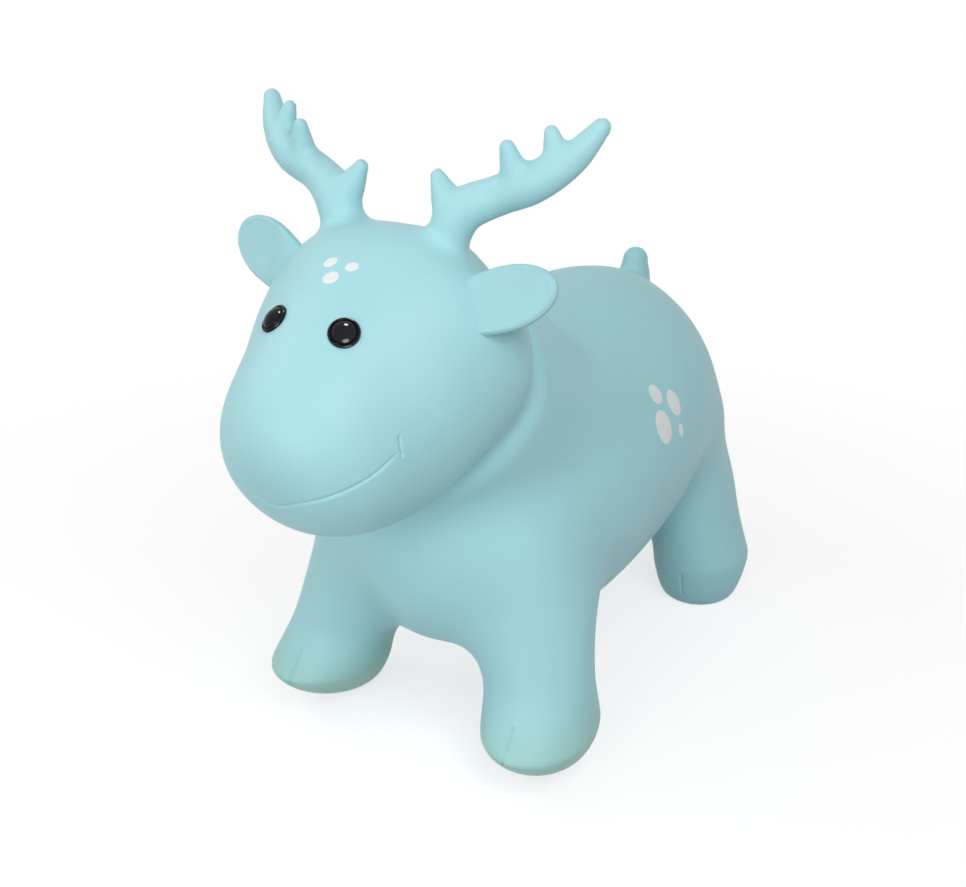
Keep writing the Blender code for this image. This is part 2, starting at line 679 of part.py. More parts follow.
def make_tail(torso_guide, vinyl):
    """The tail stub on its root ball."""
    centre, normal = tail_root(torso_guide)
    tail = bead("tail", centre, TAIL_BALL_RADIUS, normal, vinyl)
    neck = centre + normal * (TAIL_BALL_RADIUS * BALL_NECK_SHARE)
    points = [neck, neck + tail_direction() * (TAIL_LENGTH / 2), neck + tail_direction() * TAIL_LENGTH]
    radii = [TAIL_RADIUS * share for share in TAIL_RADIUS_SHARES]
    stub = tube("add_tail_stub", points, radii, TAIL_RINGS, TAIL_SIDES)
    boolean(tail, stub, "UNION")
    return tail


def surface_hit(item, start, direction):
    """The point and outward normal where a ray first meets an object's own mesh."""
    hit, point, normal, _ = item.ray_cast(start, direction.normalized())
    if not hit:
        raise ValueError(f"no surface of {item.name} there")
    return point, normal


def eye_frame(side, head_guide):
    """Where an eye sits on the head, with Z along the head's normal there."""
    start = at(side * EYE_HALF_SPAN, -HEAD_LENGTH, EYE_HEIGHT)
    point, normal = surface_hit(head_guide, start, Vector((0.0, 1.0, 0.0)))
    return Matrix.Translation(point) @ frame_along(normal)


def make_eye(word, side, head_guide, black):
    """A glossy dome inside a low round brim."""
    matrix = eye_frame(side, head_guide)
    floor = -EYE_SOCKET_DEPTH + GAP
    rise = EYE_DOME_HEIGHT - EYE_BRIM_HEIGHT
    turns = [math.radians(angle) for angle in EYE_DOME_ANGLES]
    dome = [
        (EYE_DOME_RADIUS * math.cos(turn), EYE_BRIM_HEIGHT + rise * math.sin(turn)) for turn in turns
    ]
    brim = [
        (EYE_RADIUS - EYE_BRIM_HEIGHT * inward, EYE_BRIM_HEIGHT * upward)
        for inward, upward in EYE_BRIM_SHARES
    ]
    profile = [
        (0.0, floor),
        (EYE_RADIUS, floor),
        *brim,
        (EYE_DOME_RADIUS, EYE_BRIM_HEIGHT * EYE_DOME_FOOT_SHARE),
        *dome,
        (0.0, EYE_DOME_HEIGHT),
    ]
    return turned(f"eye_{word}", profile, EYE_SIDES, matrix, black)


def eye_socket(word, side, head_guide):
    """The round cutter of an eye's socket."""
    matrix = eye_frame(side, head_guide)
    radius = EYE_RADIUS + GAP
    profile = [
        (0.0, -EYE_SOCKET_DEPTH),
        (radius, -EYE_SOCKET_DEPTH),
        (radius, EYE_DOME_HEIGHT + OVERRUN),
        (0.0, EYE_DOME_HEIGHT + OVERRUN),
    ]
    return turned(f"cut_socket_{word}", profile, EYE_SIDES, matrix)


def valve_frame(torso_guide):
    """The valve's axis on the belly, with Z pointing down out of the body."""
    start = at(0.0, VALVE_BACK, 0.0)
    point, normal = surface_hit(torso_guide, start, Vector((0.0, 0.0, 1.0)))
    return Matrix.Translation(point) @ frame_along(normal)


def make_valve(torso_guide, white):
    """The flanged inlet and the stopper that presses into it, and the hole they need."""
    matrix = valve_frame(torso_guide)
    seat = GAP - VALVE_SOCKET_DEPTH
    face = seat + VALVE_FLANGE_THICKNESS
    insert = turned(
        "valve_insert",
        [
            (0.0, -VALVE_TUBE_LENGTH),
            (VALVE_TUBE_RADIUS, -VALVE_TUBE_LENGTH),
            (VALVE_TUBE_RADIUS, seat),
            (VALVE_FLANGE_RADIUS, seat),
            (VALVE_FLANGE_RADIUS, face),
            (0.0, face),
        ],
        VALVE_SIDES, matrix, white,
    )
    bore = turned(
        "cut_valve_bore",
        [
            (0.0, -VALVE_TUBE_LENGTH - OVERRUN),
            (VALVE_BORE_RADIUS, -VALVE_TUBE_LENGTH - OVERRUN),
            (VALVE_BORE_RADIUS, face + OVERRUN),
            (0.0, face + OVERRUN),
        ],
        VALVE_SIDES, matrix,
    )
    boolean(insert, bore)
    shaft = VALVE_BORE_RADIUS - PLUG_CLEARANCE
    under_head = face + GAP
    plug = turned(
        "valve_plug",
        [
            (0.0, -PLUG_LENGTH),
            (PLUG_TIP_RADIUS, -PLUG_LENGTH),
            (shaft, -PLUG_LENGTH / 2),
            (shaft, under_head),
            (PLUG_HEAD_RADIUS, under_head),
            (PLUG_HEAD_RADIUS, under_head + PLUG_HEAD_THICKNESS / 2),
            (PLUG_HEAD_RADIUS - PLUG_HEAD_THICKNESS / 2, under_head + PLUG_HEAD_THICKNESS),
            (0.0, under_head + PLUG_HEAD_THICKNESS),
        ],
        VALVE_SIDES, matrix, white, matrix.translation,
    )
    hole = turned(
        "cut_valve_hole",
        [
            (0.0, -WALL - OVERRUN),
            (VALVE_TUBE_RADIUS + GAP, -WALL - OVERRUN),
            (VALVE_TUBE_RADIUS + GAP, -VALVE_SOCKET_DEPTH),
            (VALVE_FLANGE_RADIUS + GAP, -VALVE_SOCKET_DEPTH),
            (VALVE_FLANGE_RADIUS + GAP, OVERRUN),
            (0.0, OVERRUN),
        ],
        VALVE_SIDES, matrix,
    )
    return insert, plug, hole


def make_patch(name, guide, spec, start, direction, up, half_sizes, tilt, white):
    """An oval film of paint that follows an egg's surface: a short oval bar trimmed to a thin shell."""
    half_width, half_height = half_sizes
    point, normal = surface_hit(guide, start, direction)
    turn = Matrix.Rotation(math.radians(tilt), 4, normal)
    vertical = turn @ (Vector(up) - normal * normal.dot(Vector(up))).normalized()
    across = vertical.cross(normal).normalized()
    rings = [
        oval_ring(point + normal * reach, across, vertical, half_width, half_height, PATCH_SIDES)
        for reach in (-OVERRUN, OVERRUN)
    ]
    patch = skin_of_rings(name, rings, white)
    boolean(patch, egg(f"trim_{name}", spec, GAP + PATCH_THICKNESS), "INTERSECT")
    boolean(patch, egg(f"cut_{name}", spec, GAP))
    return patch


def make_patches(head_guide, torso_guide, white):
    """The three forehead ovals and the four ovals on each flank."""
    patches = []
    for index, (place, size, tilt) in enumerate(FOREHEAD_SPOT_SHARES):
        x = FOREHEAD_SPOTS_SPREAD * place[0]
        back = FOREHEAD_SPOTS_BACK + FOREHEAD_SPOTS_SPREAD * place[1]
        start = at(x, back, HEAD_CROWN_HEIGHT + HEAD_HEIGHT)
        half_sizes = [FOREHEAD_SPOT_HALF_SIZE * share for share in size]
        patches.append(make_patch(
            f"forehead_spot_{index + 1}", head_guide, head_spec(), start,
            Vector((0, 0, -1)), (0, 1, 0), half_sizes, tilt, white,
        ))
    for word, side in (("left", 1), ("right", -1)):
        for index, (place, size, tilt) in enumerate(FLANK_SPOT_SHARES):
            back = FLANK_SPOTS_BACK + FLANK_SPOTS_SPREAD * place[0]
            height = FLANK_SPOTS_HEIGHT + FLANK_SPOTS_SPREAD * place[1]
            start = at(side * TORSO_WIDTH, back, height)
            half_sizes = [FLANK_SPOT_HALF_SIZE * share for share in size]
            patches.append(make_patch(
                f"{word}_flank_spot_{index + 1}", torso_guide, torso_spec(), start,
                Vector((-side, 0, 0)), (0, 0, 1), half_sizes, side * tilt, white,
            ))
    return patches


def make_empty(name, place):
    """A named frame that the pieces of one body hang on."""
    item = bpy.data.objects.new(name, None)
    item.location = place
    bpy.context.collection.objects.link(item)
    return item


def parent_to(item, parent):
    """Hang an object on a parent and leave it where it is."""
    item.parent = parent
    item.matrix_parent_inverse = Matrix.Translation(-parent.location)


def main():
    clear_scene()
    vinyl = make_material("light_blue_vinyl", VINYL_BLUE, 0.45)
    sole = make_material("hoof_vinyl", SOLE_TEAL, 0.5)
    white_paint = make_material("white_spot_paint", SPOT_WHITE, 0.5)
    black = make_material("gloss_black_eye", EYE_BLACK, 0.08, 1.0)
    valve_white = make_material("valve_white", VALVE_WHITE, 0.4)

    torso_fit = egg("cut_torso_fit", torso_spec(), GAP)
    neck_fit = egg("cut_neck_fit", neck_spec(), GAP)
    head_hollow = egg("cut_head_hollow", head_spec(), -WALL)
    torso_guide = hide_cutter(egg("guide_torso", torso_spec(), 0.0))
    head_guide = hide_cutter(egg("guide_head", head_spec(), 0.0))

    head = egg("head_skin", head_spec(), 0.0, vinyl)
    boolean(head, head_hollow)
    boolean(head, torso_fit)
    boolean(head, neck_fit)

    neck_hollow = egg("cut_neck_hollow", neck_spec(), -WALL)
    neck = egg("neck_skin", neck_spec(), 0.0, vinyl)
    boolean(neck, neck_hollow)
    boolean(neck, torso_fit)
    boolean(neck, head_hollow)

    torso = egg("torso_skin", torso_spec(), 0.0, vinyl)
    boolean(torso, egg("cut_torso_hollow", torso_spec(), -WALL))
    boolean(torso, neck_hollow)
    boolean(torso, head_hollow)

    body_frame = make_empty("bouncing_body", at(0.0, TORSO_FRONT_BACK, HOOF_TOP_HEIGHT))
    ground_frame = make_empty("grounded_hooves", at(0.0, TORSO_FRONT_BACK, 0.0))
    for corner in CORNERS:
        leg, hoof, hollow = make_leg(corner, (torso_fit, neck_fit), vinyl, sole)
        boolean(torso, hollow)
        parent_to(leg, body_frame)
        parent_to(hoof, ground_frame)

    pieces = [torso, neck, head]
    for word, side in (("left", 1), ("right", -1)):
        antler = make_antler(word, side, head_guide, vinyl)
        root, normal = antler_root(side, head_guide)
        boolean(head, ball(f"cut_antler_seat_{word}", root, ANTLER_BALL_RADIUS + BALL_CLEARANCE, normal))
        ear = make_ear(word, side, vinyl)
        boolean(head, ear_bar(f"cut_ear_seat_{word}", side, GAP))
        boolean(head, eye_socket(word, side, head_guide))
        pieces += [antler, ear, make_eye(word, side, head_guide, black)]

    tail = make_tail(torso_guide, vinyl)
    root, normal = tail_root(torso_guide)
    boolean(torso, ball("cut_tail_seat", root, TAIL_BALL_RADIUS + BALL_CLEARANCE, normal))
    insert, plug, hole = make_valve(torso_guide, valve_white)
    boolean(torso, hole)
    pieces += [tail, insert, plug]
    pieces += make_patches(head_guide, torso_guide, white_paint)
    for piece in pieces:
        parent_to(piece, body_frame)


main()
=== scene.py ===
"""Looks for the inflatable bouncy ride-on deer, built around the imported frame.

Metres, +Z up. The animal faces -Y and its left side is +X. Lofts for the body parts are fused,
their joins are rounded, and the one skin is then parted where the joints of the frame bend it.
"""

import json
import math

import bmesh
import bpy
import numpy as np
from mathutils import Matrix, Vector
from mathutils.bvhtree import BVHTree
from mathutils.kdtree import KDTree


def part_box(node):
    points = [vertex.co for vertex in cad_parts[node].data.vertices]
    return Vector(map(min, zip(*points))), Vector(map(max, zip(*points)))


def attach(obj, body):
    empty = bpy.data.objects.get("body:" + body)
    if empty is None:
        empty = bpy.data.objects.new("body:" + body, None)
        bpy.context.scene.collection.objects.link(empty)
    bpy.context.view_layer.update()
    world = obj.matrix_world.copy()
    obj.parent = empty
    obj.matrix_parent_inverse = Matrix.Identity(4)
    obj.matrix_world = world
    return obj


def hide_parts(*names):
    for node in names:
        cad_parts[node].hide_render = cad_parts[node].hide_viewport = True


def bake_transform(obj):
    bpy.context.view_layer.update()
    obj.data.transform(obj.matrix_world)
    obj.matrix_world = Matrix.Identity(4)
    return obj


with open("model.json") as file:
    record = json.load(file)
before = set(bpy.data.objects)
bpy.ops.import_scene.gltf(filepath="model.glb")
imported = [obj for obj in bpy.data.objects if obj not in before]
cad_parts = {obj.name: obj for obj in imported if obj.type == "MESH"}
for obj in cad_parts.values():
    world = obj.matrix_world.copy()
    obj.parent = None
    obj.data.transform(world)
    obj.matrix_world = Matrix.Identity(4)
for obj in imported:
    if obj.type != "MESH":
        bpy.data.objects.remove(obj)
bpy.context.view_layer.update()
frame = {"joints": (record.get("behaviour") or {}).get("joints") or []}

# The eyes' place along the body, from which all places back are measured, the sides and the axes
EYE_LINE_Y = -0.237
SIDES = (("left", 1), ("right", -1))
X_AXIS, Y_AXIS, Z_AXIS = (Vector(row) for row in Matrix.Identity(3))

# Torso, neck, head and shoulder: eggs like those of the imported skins, with more rings and sides. The
# shoulder is the fullness between neck and torso. A front is (back from the eyes, height), a pitch is in
# degrees, and the shares run from front to back
LEVEL_SHARES = {
    "width_shares": (1.0, 1.0, 1.0), "height_shares": (1.0, 1.0, 1.0), "rise_shares": (0.0, 0.0, 0.0),
}
TORSO = {
    "front": (0.082, 0.184), "length": 0.450, "pitch": 5.1, "power": 2.8,
    "width": 0.257, "height": 0.250,
    "width_shares": (0.84, 0.96, 1.0, 1.0, 0.95), "height_shares": (0.93, 1.016, 1.054, 1.02, 0.92),
    "rise_shares": (-0.055, -0.053, -0.043, -0.008, 0.014),
}
NECK = {
    "front": (0.0626, 0.3414), "length": 0.240, "pitch": -28.6, "power": 2.3,
    "width": 0.200, "height": 0.190, **LEVEL_SHARES,
}
HEAD = {
    "front": (-0.0490, 0.2877), "length": 0.232, "pitch": 22.1, "power": 2.57,
    "width": 0.217, "height": 0.214,
    "width_shares": (0.712, 0.727, 0.871, 1.0, 0.964), "height_shares": (0.697, 0.77, 0.888, 1.0, 0.98),
    "rise_shares": (0.008, -0.019, -0.023, -0.023, -0.023),
}
SHOULDER = {
    "front": (0.115, 0.2825), "length": 0.240, "pitch": -6.0, "power": 2.6,
    "width": 0.212, "height": 0.100, **LEVEL_SHARES,
}
EGG_SIZES = ("width", "height", "rise")
EGG_RINGS = 48
EGG_SIDES = 72

# Legs: stations from the shoulder down to the widest of the hoof, and the half sizes of the ring at each.
# A skew carries a ring's outer side forwards
SHOULDER_TOP_HEIGHT = 0.250
HOOF_CURVE_POWER = 1.4
FRONT_LEG = {
    "track": 0.102, "back": 0.133, "lean": 0.035, "half_width": 0.056, "half_length": 0.062,
    "station_shares": (1.0, 0.8, 0.6, 0.46, 0.312, 0.176),
    "track_shares": (0.44, 0.59, 0.70, 0.753, 0.905, 1.009),
    "lean_shares": (1.0, 1.15, 1.10, 0.615, 0.371, -0.04),
    "width_shares": (0.536, 0.946, 1.02, 0.986, 0.816, 0.800),
    "length_shares": (0.726, 1.12, 1.06, 0.855, 0.806, 0.985),
    "skews": (0.0, 0.0, 0.0, 0.0, 0.11, 0.08),
    "sole_share": 0.32, "sole_shift": 0.030, "cleft_heights": (0.080, 0.066, 0.051, 0.035),
}
REAR_LEG = {
    "track": 0.101, "back": 0.469, "lean": -0.031, "half_width": 0.054, "half_length": 0.068,
    "station_shares": (1.0, 0.8, 0.6, 0.36, 0.176),
    "track_shares": (0.446, 0.614, 0.752, 0.871, 0.989),
    "lean_shares": (1.0, 0.645, 0.194, 0.097, 0.06),
    "width_shares": (0.833, 1.0, 0.889, 0.824, 0.861),
    "length_shares": (0.809, 1.0, 0.824, 0.728, 0.743),
    "skews": (0.0, 0.0, 0.0, 0.0, 0.0),
    "sole_share": 0.73, "sole_shift": 0.000, "cleft_heights": (0.038, 0.027, 0.016, 0.004),
}
LEG_RINGS = 40
HOOF_RINGS = 14
LEG_SIDES = 48

# Antlers and tail: swept tubes, beam and tines as shares of span, sweep and rise from the root
ANTLER_ROOT = (0.0475, 0.098, 0.421)
ANTLER_REACH = (0.0875, 0.0375, 0.085)
ANTLER_BEAM_SHARES = (
    (-0.09, -0.05, -0.10), (0.051, 0.053, 0.329), (0.291, 0.293, 0.459),
    (0.600, 0.400, 0.600), (0.851, 0.693, 0.788), (1.0, 1.0, 1.0),
)
ANTLER_TINE_TIP_SHARES = ((-0.184, 0.139, 0.576), (0.417, 0.165, 0.858), (0.676, 0.613, 0.961))
ANTLER_TINE_ROOT_SHARES = (0.20, 0.55, 0.755)
ANTLER_BEAM_RADIUS = 0.0168
ANTLER_BEAM_RADIUS_SHARES = (1.0, 0.94, 0.81, 0.804, 0.62, 0.38)
ANTLER_TINE_RADIUS = 0.0100
ANTLER_TINE_RADIUS_SHARES = ((1.42, 1.12, 0.58), (1.2, 0.90, 0.53), (1.05, 0.82, 0.51))
TAIL_ROOT = (0.0, 0.4938, 0.2943)
TAIL_PITCH = 84
TAIL_REACH = 0.0250
TAIL_RADIUS = 0.0180
TAIL_RADIUS_SHARES = (1.25, 1.06, 0.79)
TUBE_RINGS = 40
TUBE_SIDES = 28
TUBE_TIP_ANGLES = (20, 40, 60, 75)

# Skin: voxel of the fused mesh and the light smoothing of its steps, the rounding of each kind of join as
# (reach, strength), and the crease where the head rolls under
SKIN_VOXEL = 0.0024
EVEN_STRENGTH = 0.3
EVEN_STEPS = 3
RELAX_SHARE = 0.5
ROUNDING_STEPS = 420
JOINS = {
    "broad": (0.050, 1.0), "crease": (0.010, 0.035), "root": (0.015, 0.09), "tine": (0.005, 0.035),
}
CREASE_DEPTH = 0.0062
CREASE_WIDTHS = (0.0170, 0.0055)
CREASE_STRENGTH = 0.5
CREASE_STEPS = 8

# Places where the skin is drawn in, alike on both sides, as (place, depth, reach)
PRESSES = {
    "temple": ((0.075, 0.116, 0.408), 0.012, 0.022),
    "crown": ((0.0, 0.098, 0.440), 0.0035, 0.028),
    "cheek": ((0.060, 0.012, 0.362), 0.003, 0.030),
    "rump": ((0.058, 0.492, 0.280), 0.012, 0.045),
    "haunch": ((0.118, 0.480, 0.155), 0.008, 0.032),
}

# Where the skin is parted for the joints, and the room around each limb
LEG_CUT_HEIGHT = 0.072
ANTLER_CUT = 0.008
ANTLER_ROOM = 0.04
TAIL_CUT = 0.006
TAIL_ROOM = 0.1
TAIL_TIP_SHARES = (0.0, 0.3, 1.0)
VALVE_CUT_RADIUS = 0.0085
VALVE_CUT_REACH = 0.02
VALVE_CUT_TOP = 0.12

# Starts of the rays that find places on the skin: beside it or in front, above it, just off the floor
RAY_BESIDE = 0.3
RAY_ABOVE = 0.6
RAY_FLOOR = 0.001

# Grooves pressed into the skin, as places (half span, back from the eyes, height)
GROOVE_REACHES = (0.006, 0.0035)
GROOVE_FADE = 0.06
MOUTH_POINTS = (
    (0.0, -0.0475, 0.2810), (0.0224, -0.0462, 0.2894), (0.0444, -0.0383, 0.2975),
    (0.0619, -0.0179, 0.3090), (0.0702, -0.0021, 0.3203),
)
MOUTH_TICK = ((0.0693, -0.0020, 0.3300), (0.0695, -0.0018, 0.3225), (0.0703, -0.0010, 0.3150))
MOUTH_DEPTH = 0.0011
MOUTH_WIDTH = 0.0011
MOUTH_STEPS = 400
TICK_STEPS = 60
CLEFT_DEPTH = 0.0016
CLEFT_WIDTH = 0.0011
CLEFT_STEPS = 80

# Ears: root, the way to the tip, the slant of the width, and how far each one's root and tip are lifted,
# as the soft ears don't hang alike
EAR_ROOT = (0.0827, 0.0747, 0.3966)
EAR_REACH = (0.0488, 0.0137, 0.0196)
EAR_SLANT = (-0.3955, 0.2657, 0.8792)
EAR_LIFTS = {"left": (0.0, -0.0030), "right": (0.0055, -0.0035)}
EAR_HALF_WIDTH = 0.0213
EAR_ROOT_SHARE = 0.955
EAR_WIDEST_SHARE = 0.3165
EAR_THICKNESS = 0.0105
EAR_FACE_POWER = 3.4
EAR_DISH = 0.0026
EAR_DISH_LEAD = 0.1
EAR_SWELL = 0.0020
EAR_SWELL_END = 0.6
EAR_RIM_LIFT = 0.0008
EAR_RIM_INSET = 0.0022
EAR_RIM_WIDTH = 0.0011
EAR_SINK = 0.016
EAR_SUNK_SHARE = 0.9
EAR_RINGS = 72
EAR_SIDES = 160

# Eyes: their place, and a profile from the rim inwards, its pairs as (radius, height)
EYE_HALF_SPAN = 0.0282
EYE_HEIGHT = 0.3894
EYE_FOOT = (0.0105, -0.0015)
EYE_RING_CENTRE = (0.0095, 0.0008)
EYE_RING_RADIUS = 0.0010
EYE_DOME_RADIUS = 0.0083
EYE_DOME_FOOT = 0.0005
EYE_DOME_HEIGHT = 0.0054
EYE_POLE_RADIUS = 0.00002
EYE_RING_STEPS = 12
EYE_DOME_STEPS = 18
EYE_SIDES = 72

# Spots: the middle of each group, and each spot as (place in spreads, shares of the half size, degrees)
FOREHEAD_SPOTS_BACK = 0.031
FOREHEAD_SPREAD = 0.010
FOREHEAD_HALF_SIZE = 0.0060
FOREHEAD_SPOTS = (
    ((-0.85, 0.45), (0.90, 0.73), 25), ((0.93, 0.40), (0.82, 0.67), 20),
    ((-0.05, -0.60), (1.0, 0.90), 15),
)
FLANK_SPOTS_CENTRE = (0.3185, 0.2452)
FLANK_SPREAD = 0.0170
FLANK_HALF_SIZE = 0.0152
FLANK_SPOTS = (
    ((-0.53, 1.06), (0.50, 0.64), 26), ((0.65, 0.324), (0.56, 0.82), 12),
    ((-0.853, -0.412), (0.75, 1.0), 5), ((0.647, -1.06), (0.26, 0.41), 0),
)
SPOT_FILM = 0.0004
SPOT_SINK = 0.00012
SPOT_EDGE_POWER = 8
SPOT_RAY = 0.02
SPOT_RINGS = 12
SPOT_SIDES = 56

# Valve on the belly, heights measured out of it: the inlet's end and its flange's back and face, and the
# stopper from its tip to the dish in its head
VALVE_FLANGE_RADIUS = 0.019
VALVE_TUBE_RADIUS = 0.0095
VALVE_BORE_RADIUS = 0.0070
VALVE_HEIGHTS = (-0.024, -0.001, 0.0014)
VALVE_ROUNDING = 0.0007
STOPPER_CLEARANCE = 0.0003
STOPPER_RADII = (0.0001, 0.0050, 0.0125, 0.0102, 0.0092)
STOPPER_HEIGHTS = (-0.020, -0.010, 0.0017, 0.0047, 0.0041)
STOPPER_ROUNDING = 0.0008
CORNER_STEPS = 5
CORNER_ROOM = 2.2
VALVE_SIDES = 72

# Colours, linear; the sole's greener tone fades in below a height, on the front feet alone
SOLE_HEIGHT = 0.084
SOLE_FADE = 0.054
SOLE_BACK_END = 0.0
VINYL_BLUE = (0.41, 0.765, 0.825)
SOLE_BLUE = (0.395, 0.70, 0.65)
SPOT_WHITE = (0.88, 0.945, 0.96)
EYE_BLACK = (0.004, 0.004, 0.005)
VALVE_WHITE = (0.80, 0.81, 0.80)
FLOOR_WHITE = (0.50, 0.50, 0.51)

# Finishes: noise as (scale, detail), relief layers as (scale, strength, distance), coat as (weight,
# roughness)
VINYL_ROUGHNESS = 0.50
FOOT_ROUGHNESS = 0.52
# The ears' vinyl is a darker copy of the body's: painted shade
EAR_PAINTED_SHADE = 0.91
VINYL_MOTTLE = (14.0, 3.0)
VINYL_SHADE = 0.035
VINYL_SHEEN = (38.0, 4.0)
VINYL_SHEEN_SPREAD = 0.05
VINYL_RELIEF = ((520.0, 0.10, 0.0004), (22.0, 0.12, 0.004))
VINYL_COAT = (0.06, 0.36)
SPOT_ROUGHNESS = 0.42
EYE_ROUGHNESS = 0.11
EYE_SPECULAR = 0.13
VALVE_ROUGHNESS = 0.4
PLAIN_MOTTLE = (60.0, 3.0)
PLAIN_DARK_SHARE = 0.96
PLAIN_ROUGHNESS_SHARES = (0.85, 1.15)
PLAIN_RELIEF = ((480.0, 0.05, 0.0002),)
RELIEF_DETAIL = 2.0

# Studio: the world's level, lamps as (name, azimuth and elevation, distance, target, size, power,
# colour), and the floor
WORLD_LEVEL = 0.40
WORLD_DIM_SIDE = (0.70, 0.70, 0.10)
WORLD_SIDE_SHARES = (1.22, 0.76)
WORLD_TINT = (1.0, 0.94, 0.91)
LAMPS = (
    ("key", (53.0, 42.0), 1.5, (0.0, -0.05, 0.25), 0.90, 7.4, (0.97, 0.99, 1.0)),
    ("front", (5.0, 13.0), 1.5, (0.0, -0.05, 0.22), 0.90, 4.9, (0.97, 0.99, 1.0)),
    ("far", (-70.0, 42.0), 1.5, (0.0, -0.05, 0.25), 0.90, 3.4, (0.97, 0.99, 1.0)),
)
EYE_LAMPS = (
    ("glint", (-165.0, 72.0), 1.0, (0.0285, -0.29, 0.3885), 0.26, 16.0, (1.0, 1.0, 1.0)),
    ("glow", (46.0, -17.0), 0.5, (0.0285, -0.29, 0.3885), 0.46, 12.0, (1.0, 1.0, 1.0)),
)
FLOOR_HALF_SIZE = 4.0
FLOOR_DROP = -0.0002
FLOOR_GLOW = 0.67
FLOOR_FADE = (0.40, 0.95)
FLOOR_GRAIN = (3.0, 2.0)
FLOOR_DARK_SHARE = 0.985
FLOOR_ROUGHNESS = 0.9

# Camera at the photograph's angle
CAMERA_PLACE = (0.4875, -0.8233, 0.6329)
CAMERA_AZIMUTH = 31.4
CAMERA_ELEVATION = 23.3
CAMERA_LENS = 46.25
CAMERA_SENSOR = 36


def at(x, back, height):
    """A world point from its half span, its place back from the eyes and its height."""
    return Vector((x, EYE_LINE_Y + back, height))


def smooth_value(stations, values, place):
    """A value on a smooth cubic curve through the stations."""
    stations = np.asarray(stations, float)
    values = np.asarray(values, float)
    slopes = np.gradient(values, stations, axis=0)
    index = int(np.clip(np.searchsorted(stations, place) - 1, 0, len(stations) - 2))
    span = stations[index + 1] - stations[index]
    u = (place - stations[index]) / span
    start = (1 + 2 * u) * (1 - u) ** 2 * values[index] + u * (1 - u) ** 2 * span * slopes[index]
    finish = u * u * (3 - 2 * u) * values[index + 1] - u * u * (1 - u) * span * slopes[index + 1]
    return start + finish


def link(name, data):
    """A new object on the scene for a mesh, a lamp or a camera."""
    item = bpy.data.objects.new(name, data)
    bpy.context.collection.objects.link(item)
    return item


def mesh_from(name, bm):
    """A new mesh from a bmesh, which is freed."""
    mesh = bpy.data.meshes.new(name)
    bm.to_mesh(mesh)
    bm.free()
    return mesh


def finished(name, mesh, material):
    """A new smooth object for a mesh, with its material."""
    mesh.shade_smooth()
    mesh.materials.append(material)
    return link(name, mesh)


def rings_mesh(name, rings, poles=(None, None), closed=False):
    """A mesh through rings: each end a flat cap or a fan to its pole, or both ends joined."""
    bm = bmesh.new()
    rows = [[bm.verts.new(point) for point in ring] for ring in rings]
    count = len(rows[0])
    for lower, upper in zip(rows, rows[1:] + rows[:1] if closed else rows[1:]):
        for i in range(count):
            j = (i + 1) % count
            bm.faces.new((lower[i], lower[j], upper[j], upper[i]))
    for row, pole in () if closed else ((rows[0], poles[0]), (rows[-1], poles[1])):
        if pole is None:
            bm.faces.new(row)
            continue
        tip = bm.verts.new(pole)
        for i in range(count):
            bm.faces.new((row[i], row[(i + 1) % count], tip))
    bmesh.ops.recalc_face_normals(bm, faces=bm.faces)
    return mesh_from(name, bm)


def oval_ring(centre, across, up, half_width, half_height, sides):
    """Points round an oval spanned by two unit vectors."""
    turns = [2 * math.pi * i / sides for i in range(sides)]
    return [
        centre + across * (half_width * math.cos(turn)) + up * (half_height * math.sin(turn))
        for turn in turns
    ]


def pitched(degrees):
    """The directions along and up of an axis that points back with a pitch."""
    pitch = math.radians(degrees)
    along = Vector((0.0, math.cos(pitch), math.sin(pitch)))
    return along, Vector((0.0, -math.sin(pitch), math.cos(pitch)))


def egg(name, spec):
    """An egg along a pitched axis, its sizes from the shares of the spec."""
    along, up = pitched(spec["pitch"])
    power = spec["power"]
    start = at(0.0, *spec["front"])
    stations = np.linspace(0.0, 1.0, len(spec["width_shares"]))
    rings = []
    for k in range(1, EGG_RINGS + 1):
        place = (1 - math.cos(math.pi * k / (EGG_RINGS + 1))) / 2
        swell = (1 - abs(2 * place - 1) ** power) ** (1 / power)
        wide, tall, rise = (smooth_value(stations, spec[f"{size}_shares"], place) for size in EGG_SIZES)
        centre = start + along * (place * spec["length"]) + up * (rise * spec["height"])
        width, height = wide * spec["width"] / 2 * swell, tall * spec["height"] / 2 * swell
        rings.append(oval_ring(centre, X_AXIS, up, width, height, EGG_SIDES))
    first = start + up * (spec["rise_shares"][0] * spec["height"])
    last = start + along * spec["length"] + up * (spec["rise_shares"][-1] * spec["height"])
    return rings_mesh(name, rings, (first, last))


def leg(side, spec):
    """A leg from the shoulder down to its flat sole."""
    heights = [SHOULDER_TOP_HEIGHT * share for share in spec["station_shares"][::-1]]
    table = np.array([
        [spec["track"] * share for share in spec["track_shares"]],
        [spec["back"] + spec["lean"] * share for share in spec["lean_shares"]],
        [spec["half_width"] * share for share in spec["width_shares"]],
        [spec["half_length"] * share for share in spec["length_shares"]],
        spec["skews"],
    ]).T[::-1]
    rows = []
    for k in range(LEG_RINGS):
        z = heights[-1] + (heights[0] - heights[-1]) * k / (LEG_RINGS - 1)
        rows.append((z, *smooth_value(heights, table, z)))
    z, x, y, a, b, skew = rows[-1]
    for k in range(1, HOOF_RINGS + 1):
        fall = math.sin(math.pi / 2 * k / HOOF_RINGS)
        round_share = max(0.0, 1 - fall ** HOOF_CURVE_POWER) ** (1 / HOOF_CURVE_POWER)
        share = spec["sole_share"] + (1 - spec["sole_share"]) * round_share
        shift = spec["sole_shift"] * (1 - round_share)
        rows.append((z * (1 - fall), x, y + shift, a * share, b * share, skew))
    rings = [
        oval_ring(at(side * x, y, z), Vector((1.0, -side * skew, 0.0)), Y_AXIS, a, b, LEG_SIDES)
        for z, x, y, a, b, skew in rows
    ]
    return rings_mesh("leg", rings)


